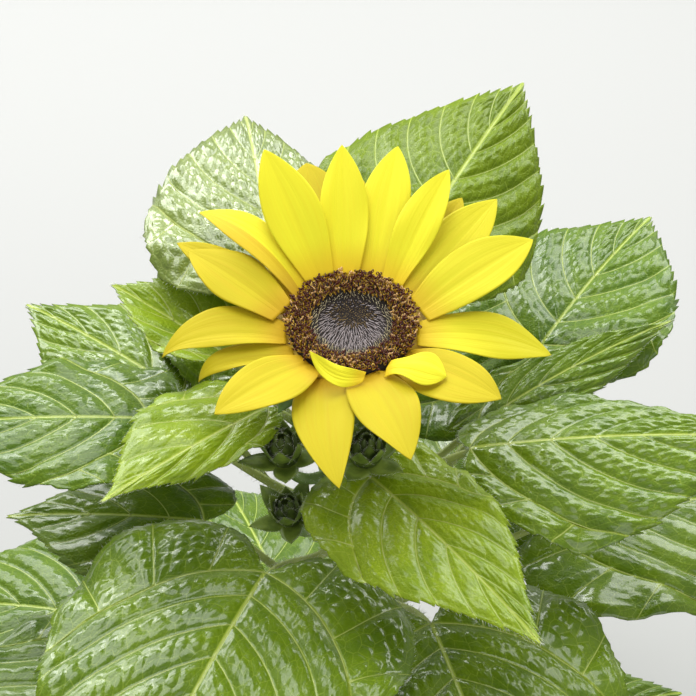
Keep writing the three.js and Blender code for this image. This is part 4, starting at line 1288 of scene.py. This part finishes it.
# Ray florets
# Twenty-one yellow rays stand round the disc in overlapping layers. Each is a thin pointed blade, finely
# grooved along its length, with a deeper yellow root and back. It is grown as a closed curved strip.
RAY_THICKNESS = 0.5
RAY_LOWEST = -4.2
RAY_LEVEL_STEP = 1.3
RAY_CLEARANCE = 0.4
RAY_NET = {"root_share": 0.5, "rows": 46, "columns": 26}
RAY_FIELDS = "at out level rise bend length veer width roll cup hook sweep skew peak tone"
RAY_ROWS = (
    (349, 0, 1, 14, 50, 51.8, 9, 21, 0, 6, 0, 0, 0, 1.1, "straw"),
    (12, 0, 2, 20, 16, 50.8, 20, 25, 0, 8, 0, 0, 0.08, 1.25, "straw"),
    (32, 0, 1, 17, 10, 53.4, 18, 22, 0, 8, 0, 0, 0.05, 1.2, "straw"),
    (43, 0, 0, 16, 8, 47.4, 16, 18, 0, 8, 0, 0, 0, 1.4, "gold"),
    (51, 0, 2, 26, 10, 50.4, 12, 17, 0, 14, 0, 0, 0.1, 1.3, "lemon"),
    (72, 0, 1, 23, 10, 56.4, 7, 19.5, 0, 8, 0, 0, 0.04, 1.35, "lemon"),
    (85, 0, 0, 15, 14, 46.5, 2, 13, 0, 8, 0, 0, 0, 1.1, "gold"),
    (95, 0, 2, 27, 10, 52.8, -3, 18.5, 0, 10, 0, 0, 0, 1.15, "lemon"),
    (108, 0, 0, 18, 14, 54, -7, 22, 0, 8, 0, 0, 0, 2.1, "gold"),
    (120, 0, 3, 33, 12, 54, -4, 22.5, 0, 8, 0, 0, 0, 1.2, "lemon"),
    (141, 0, 1.5, 36, 62, 57, -4, 15, 0, 12, 0, -2, 0, 1.15, "lemon"),
    (158, 0, 0, 17, 22, 52.2, -11, 17, 0, 8, 0, 0, 0, 1.1, "gold"),
    (171, 0, 2.8, 17.5, 24, 44.8, -28, 22, 0, 8, 0, 0, 0, 1.15, "gold"),
    (195, 0, 0.9, 17, 46, 49, -12, 18, 0, 8, 30, -1, -0.4, 1, "gold"),
    (213, 0, -0.2, 13, 38, 38.5, -23, 11.5, 0, 8, 45, -1, -0.3, 1.1, "gold"),
    (230, 0, 1, 26, 26, 46.1, -6, 22, 0, 8, 0, 0, 0.1, 1.1, "gold"),
    (248, 0, 0, 14, 22, 51, 28, 21, 0, 8, 0, -2.5, 0, 0.8, "gold"),
    (279, 2.6, 3.8, 14, -20, 22, -113, 8, -14, 12, 0, 4, 0, 1, "lemon"),
    (280, 0, 1, 19, 24, 44.7, 11, 22.5, 0, 8, 0, 1, 0, 0.9, "gold"),
    (298, 0, 3.6, 48, 80, 24, 45, 16, 0, -8, 0, 0, 0, 2.1, "lemon"),
    (321, 0, 0, 23, 28, 42, 4, 24, 0, 8, 0, 0, -0.2, 1.2, "gold"),
)
# The ring of joined yellow roots that the rays stand on, as a lathed profile, in a deeper yellow that is
# partly painted shade in the gaps between the rays
RAY_COLLAR = ((0, 22.5, 29.5, 29.5, 22.5, 0), (-5.1, -5.1, -6.0, -5.7, -4.7, -4.7))
# Rays whose upper side takes the deeper back colour in a strip, where the real ray folds over: between which
# sides, and which shares of the length
RAY_FOLDS = {11: (0.08, 1, 0, 0.98)}
RAY_ROUGHNESS = 0.6
RAY_GLOSS = 0.15
RAY_PATTERN_SHIFT = 2.7
STREAK_STRETCH = (11, 1.2, 1)
STREAK_DETAIL = 3
STREAK_FADE = (0.42, 0.7, 0.0, 0.5)
STREAK_STRENGTH = 0.5
ROOT_FADE = (0.02, 0.3, 0.75, 0.0)
# The tones of rays: the colours of face, streak and root. Gold, on most rays of the lower layers, is deeper
# and darker, partly its own colour and partly painted shade from the rays above.
RAY_TONES = {
    "lemon": ((0.82, 0.76, 0.026), (0.81, 0.70, 0.022), (0.76, 0.48, 0.016)),
    "straw": ((0.66, 0.60, 0.018), (0.66, 0.55, 0.016), (0.63, 0.40, 0.014)),
    # Painted shade, in part: the darker gold tone of the rays that lie under others
    "gold": ((0.57, 0.47, 0.012), (0.57, 0.42, 0.011), (0.55, 0.31, 0.011)),
    "back": ((0.66, 0.48, 0.016), (0.64, 0.42, 0.02), (0.56, 0.32, 0.02)),
}
# Grooves, as the side that each runs at and its depth, with a middle one that wanders
GROOVES = ((-0.36, 0.16), (0.34, 0.16))
MIDDLE_GROOVE_WANDER = 0.08
MIDDLE_GROOVE_DEPTH = 0.1
GROOVE_WIDTH = 0.11
RELIEF_STRETCH = 1.05
RELIEF_FULLNESS = 0.6
RAY_WAVE_HEIGHTS = (0.3, 0.8)
RAY_WAVES = 1.4
RAY_WAVE_SLANT = 0.25


def ray_group():
    """A ray's pattern on its own length and width: a deeper root, faint streaks and fine grooves."""
    inputs = {"Face": "Color", "Streak": "Color", "Root": "Color"}
    outputs = {"Colour": "Color", "Normal": "Vector"}
    tree, given = node_group("ray_streaks", "ShaderNodeTree", inputs, outputs)
    uv = add_node(tree, "ShaderNodeUVMap", uv_map="petal").outputs[0]
    along = add_node(tree, "ShaderNodeSeparateXYZ", {0: uv}).outputs["Y"]
    stretched = add_node(tree, "ShaderNodeMapping", {"Vector": uv, "Scale": STREAK_STRETCH}).outputs[0]
    streaks = noise(tree, stretched, 1, STREAK_DETAIL)
    streaked = colour_mix(tree, fade(tree, streaks, *STREAK_FADE), given["Face"], given["Streak"])
    rooted = colour_mix(tree, fade(tree, along, *ROOT_FADE), streaked, given["Root"])
    normal = bumped(tree, streaks, STREAK_STRENGTH)
    add_node(tree, "NodeGroupOutput", {"Colour": rooted, "Normal": normal})
    return tree


RAY_STREAKS = ray_group()


def ray_material(name, face, streak, root):
    values = {"Face": face, "Streak": streak, "Root": root}
    return patterned_material(name, RAY_STREAKS, RAY_ROUGHNESS, RAY_GLOSS, **values)


def ray_relief(seed):
    """The lengthwise grooves and the waved edges of one ray."""
    random = np.random.default_rng(seed)
    middle = random.uniform(-MIDDLE_GROOVE_WANDER, MIDDLE_GROOVE_WANDER)
    lines = (*GROOVES, (middle, MIDDLE_GROOVE_DEPTH))
    wave, phase = random.uniform(*RAY_WAVE_HEIGHTS), random.uniform(0, 1)

    def relief(share, side):
        inner = np.sin(np.pi * np.minimum(share * RELIEF_STRETCH, 1)) ** RELIEF_FULLNESS
        grooves = sum(-depth * np.exp(-(((side - at) / GROOVE_WIDTH) ** 2)) for at, depth in lines)
        waves = wave * side**2 * np.sin(2 * np.pi * (RAY_WAVES * share + phase + RAY_WAVE_SLANT * side))
        return inner * (grooves + waves)

    return relief


ray_paints = {tone: ray_material(f"ray_{tone}", *colours) for tone, colours in RAY_TONES.items()}
upper_count = RAY_NET["rows"] * RAY_NET["columns"]
for i, row in enumerate(RAY_ROWS, start=1):
    ray = dict(zip(RAY_FIELDS.split(), row))
    root_half = 0.5 * RAY_NET["root_share"] * ray["width"] * (1 + abs(ray["skew"]))
    turned_in = root_half * abs(math.sin(math.radians(ray["veer"])))
    start = DISC_RADIUS + RAY_CLEARANCE + turned_in + ray["out"]
    root = bloom_point(start, ray["at"], RAY_LOWEST + RAY_LEVEL_STEP * ray["level"])
    place = strip_placer(root, bloom_out(ray["at"] + ray["veer"]), bloom_axis, ray)
    points, faces, places = strip(place, ray, RAY_NET, RAY_THICKNESS, ray_relief(i))
    floret = piece_of(f"ray_floret_{i:02}", (points, faces), ray_paints[ray["tone"]], ray_paints["back"])
    from_side, to_side, from_share, to_share = RAY_FOLDS.get(i, (0, 0, 0, 0))
    for face in floret.data.polygons[: 2 * upper_count]:
        side, share = places[list(face.vertices)].mean(axis=0)
        folded = from_side < side < to_side and from_share < share < to_share
        face.material_index = 1 if folded or face.index >= upper_count else 0
    corner_points = np.zeros(len(floret.data.loops), np.int32)
    floret.data.loops.foreach_get("vertex_index", corner_points)
    lay_corners(floret.data, "petal", places[corner_points] + (RAY_PATTERN_SHIFT * i, 0))
    weld(floret.data, WELD_GAP)
    hand_in(floret, f"ray_{i:02}")

# Painted shade, in part: the collar shows in the gaps between ray roots, coloured as their shadowed yellow
collar_shaded_yellow = matt_material("ray_collar", (0.68, 0.46, 0.02), RAY_ROUGHNESS)
hand_in(piece_of("ray_collar", bloom_lathed(RAY_COLLAR, CUP_SIDES), collar_shaded_yellow))

sizes = {"cad": [list(corner) for corner in cad_box], "visual": [list(corner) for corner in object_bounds()]}
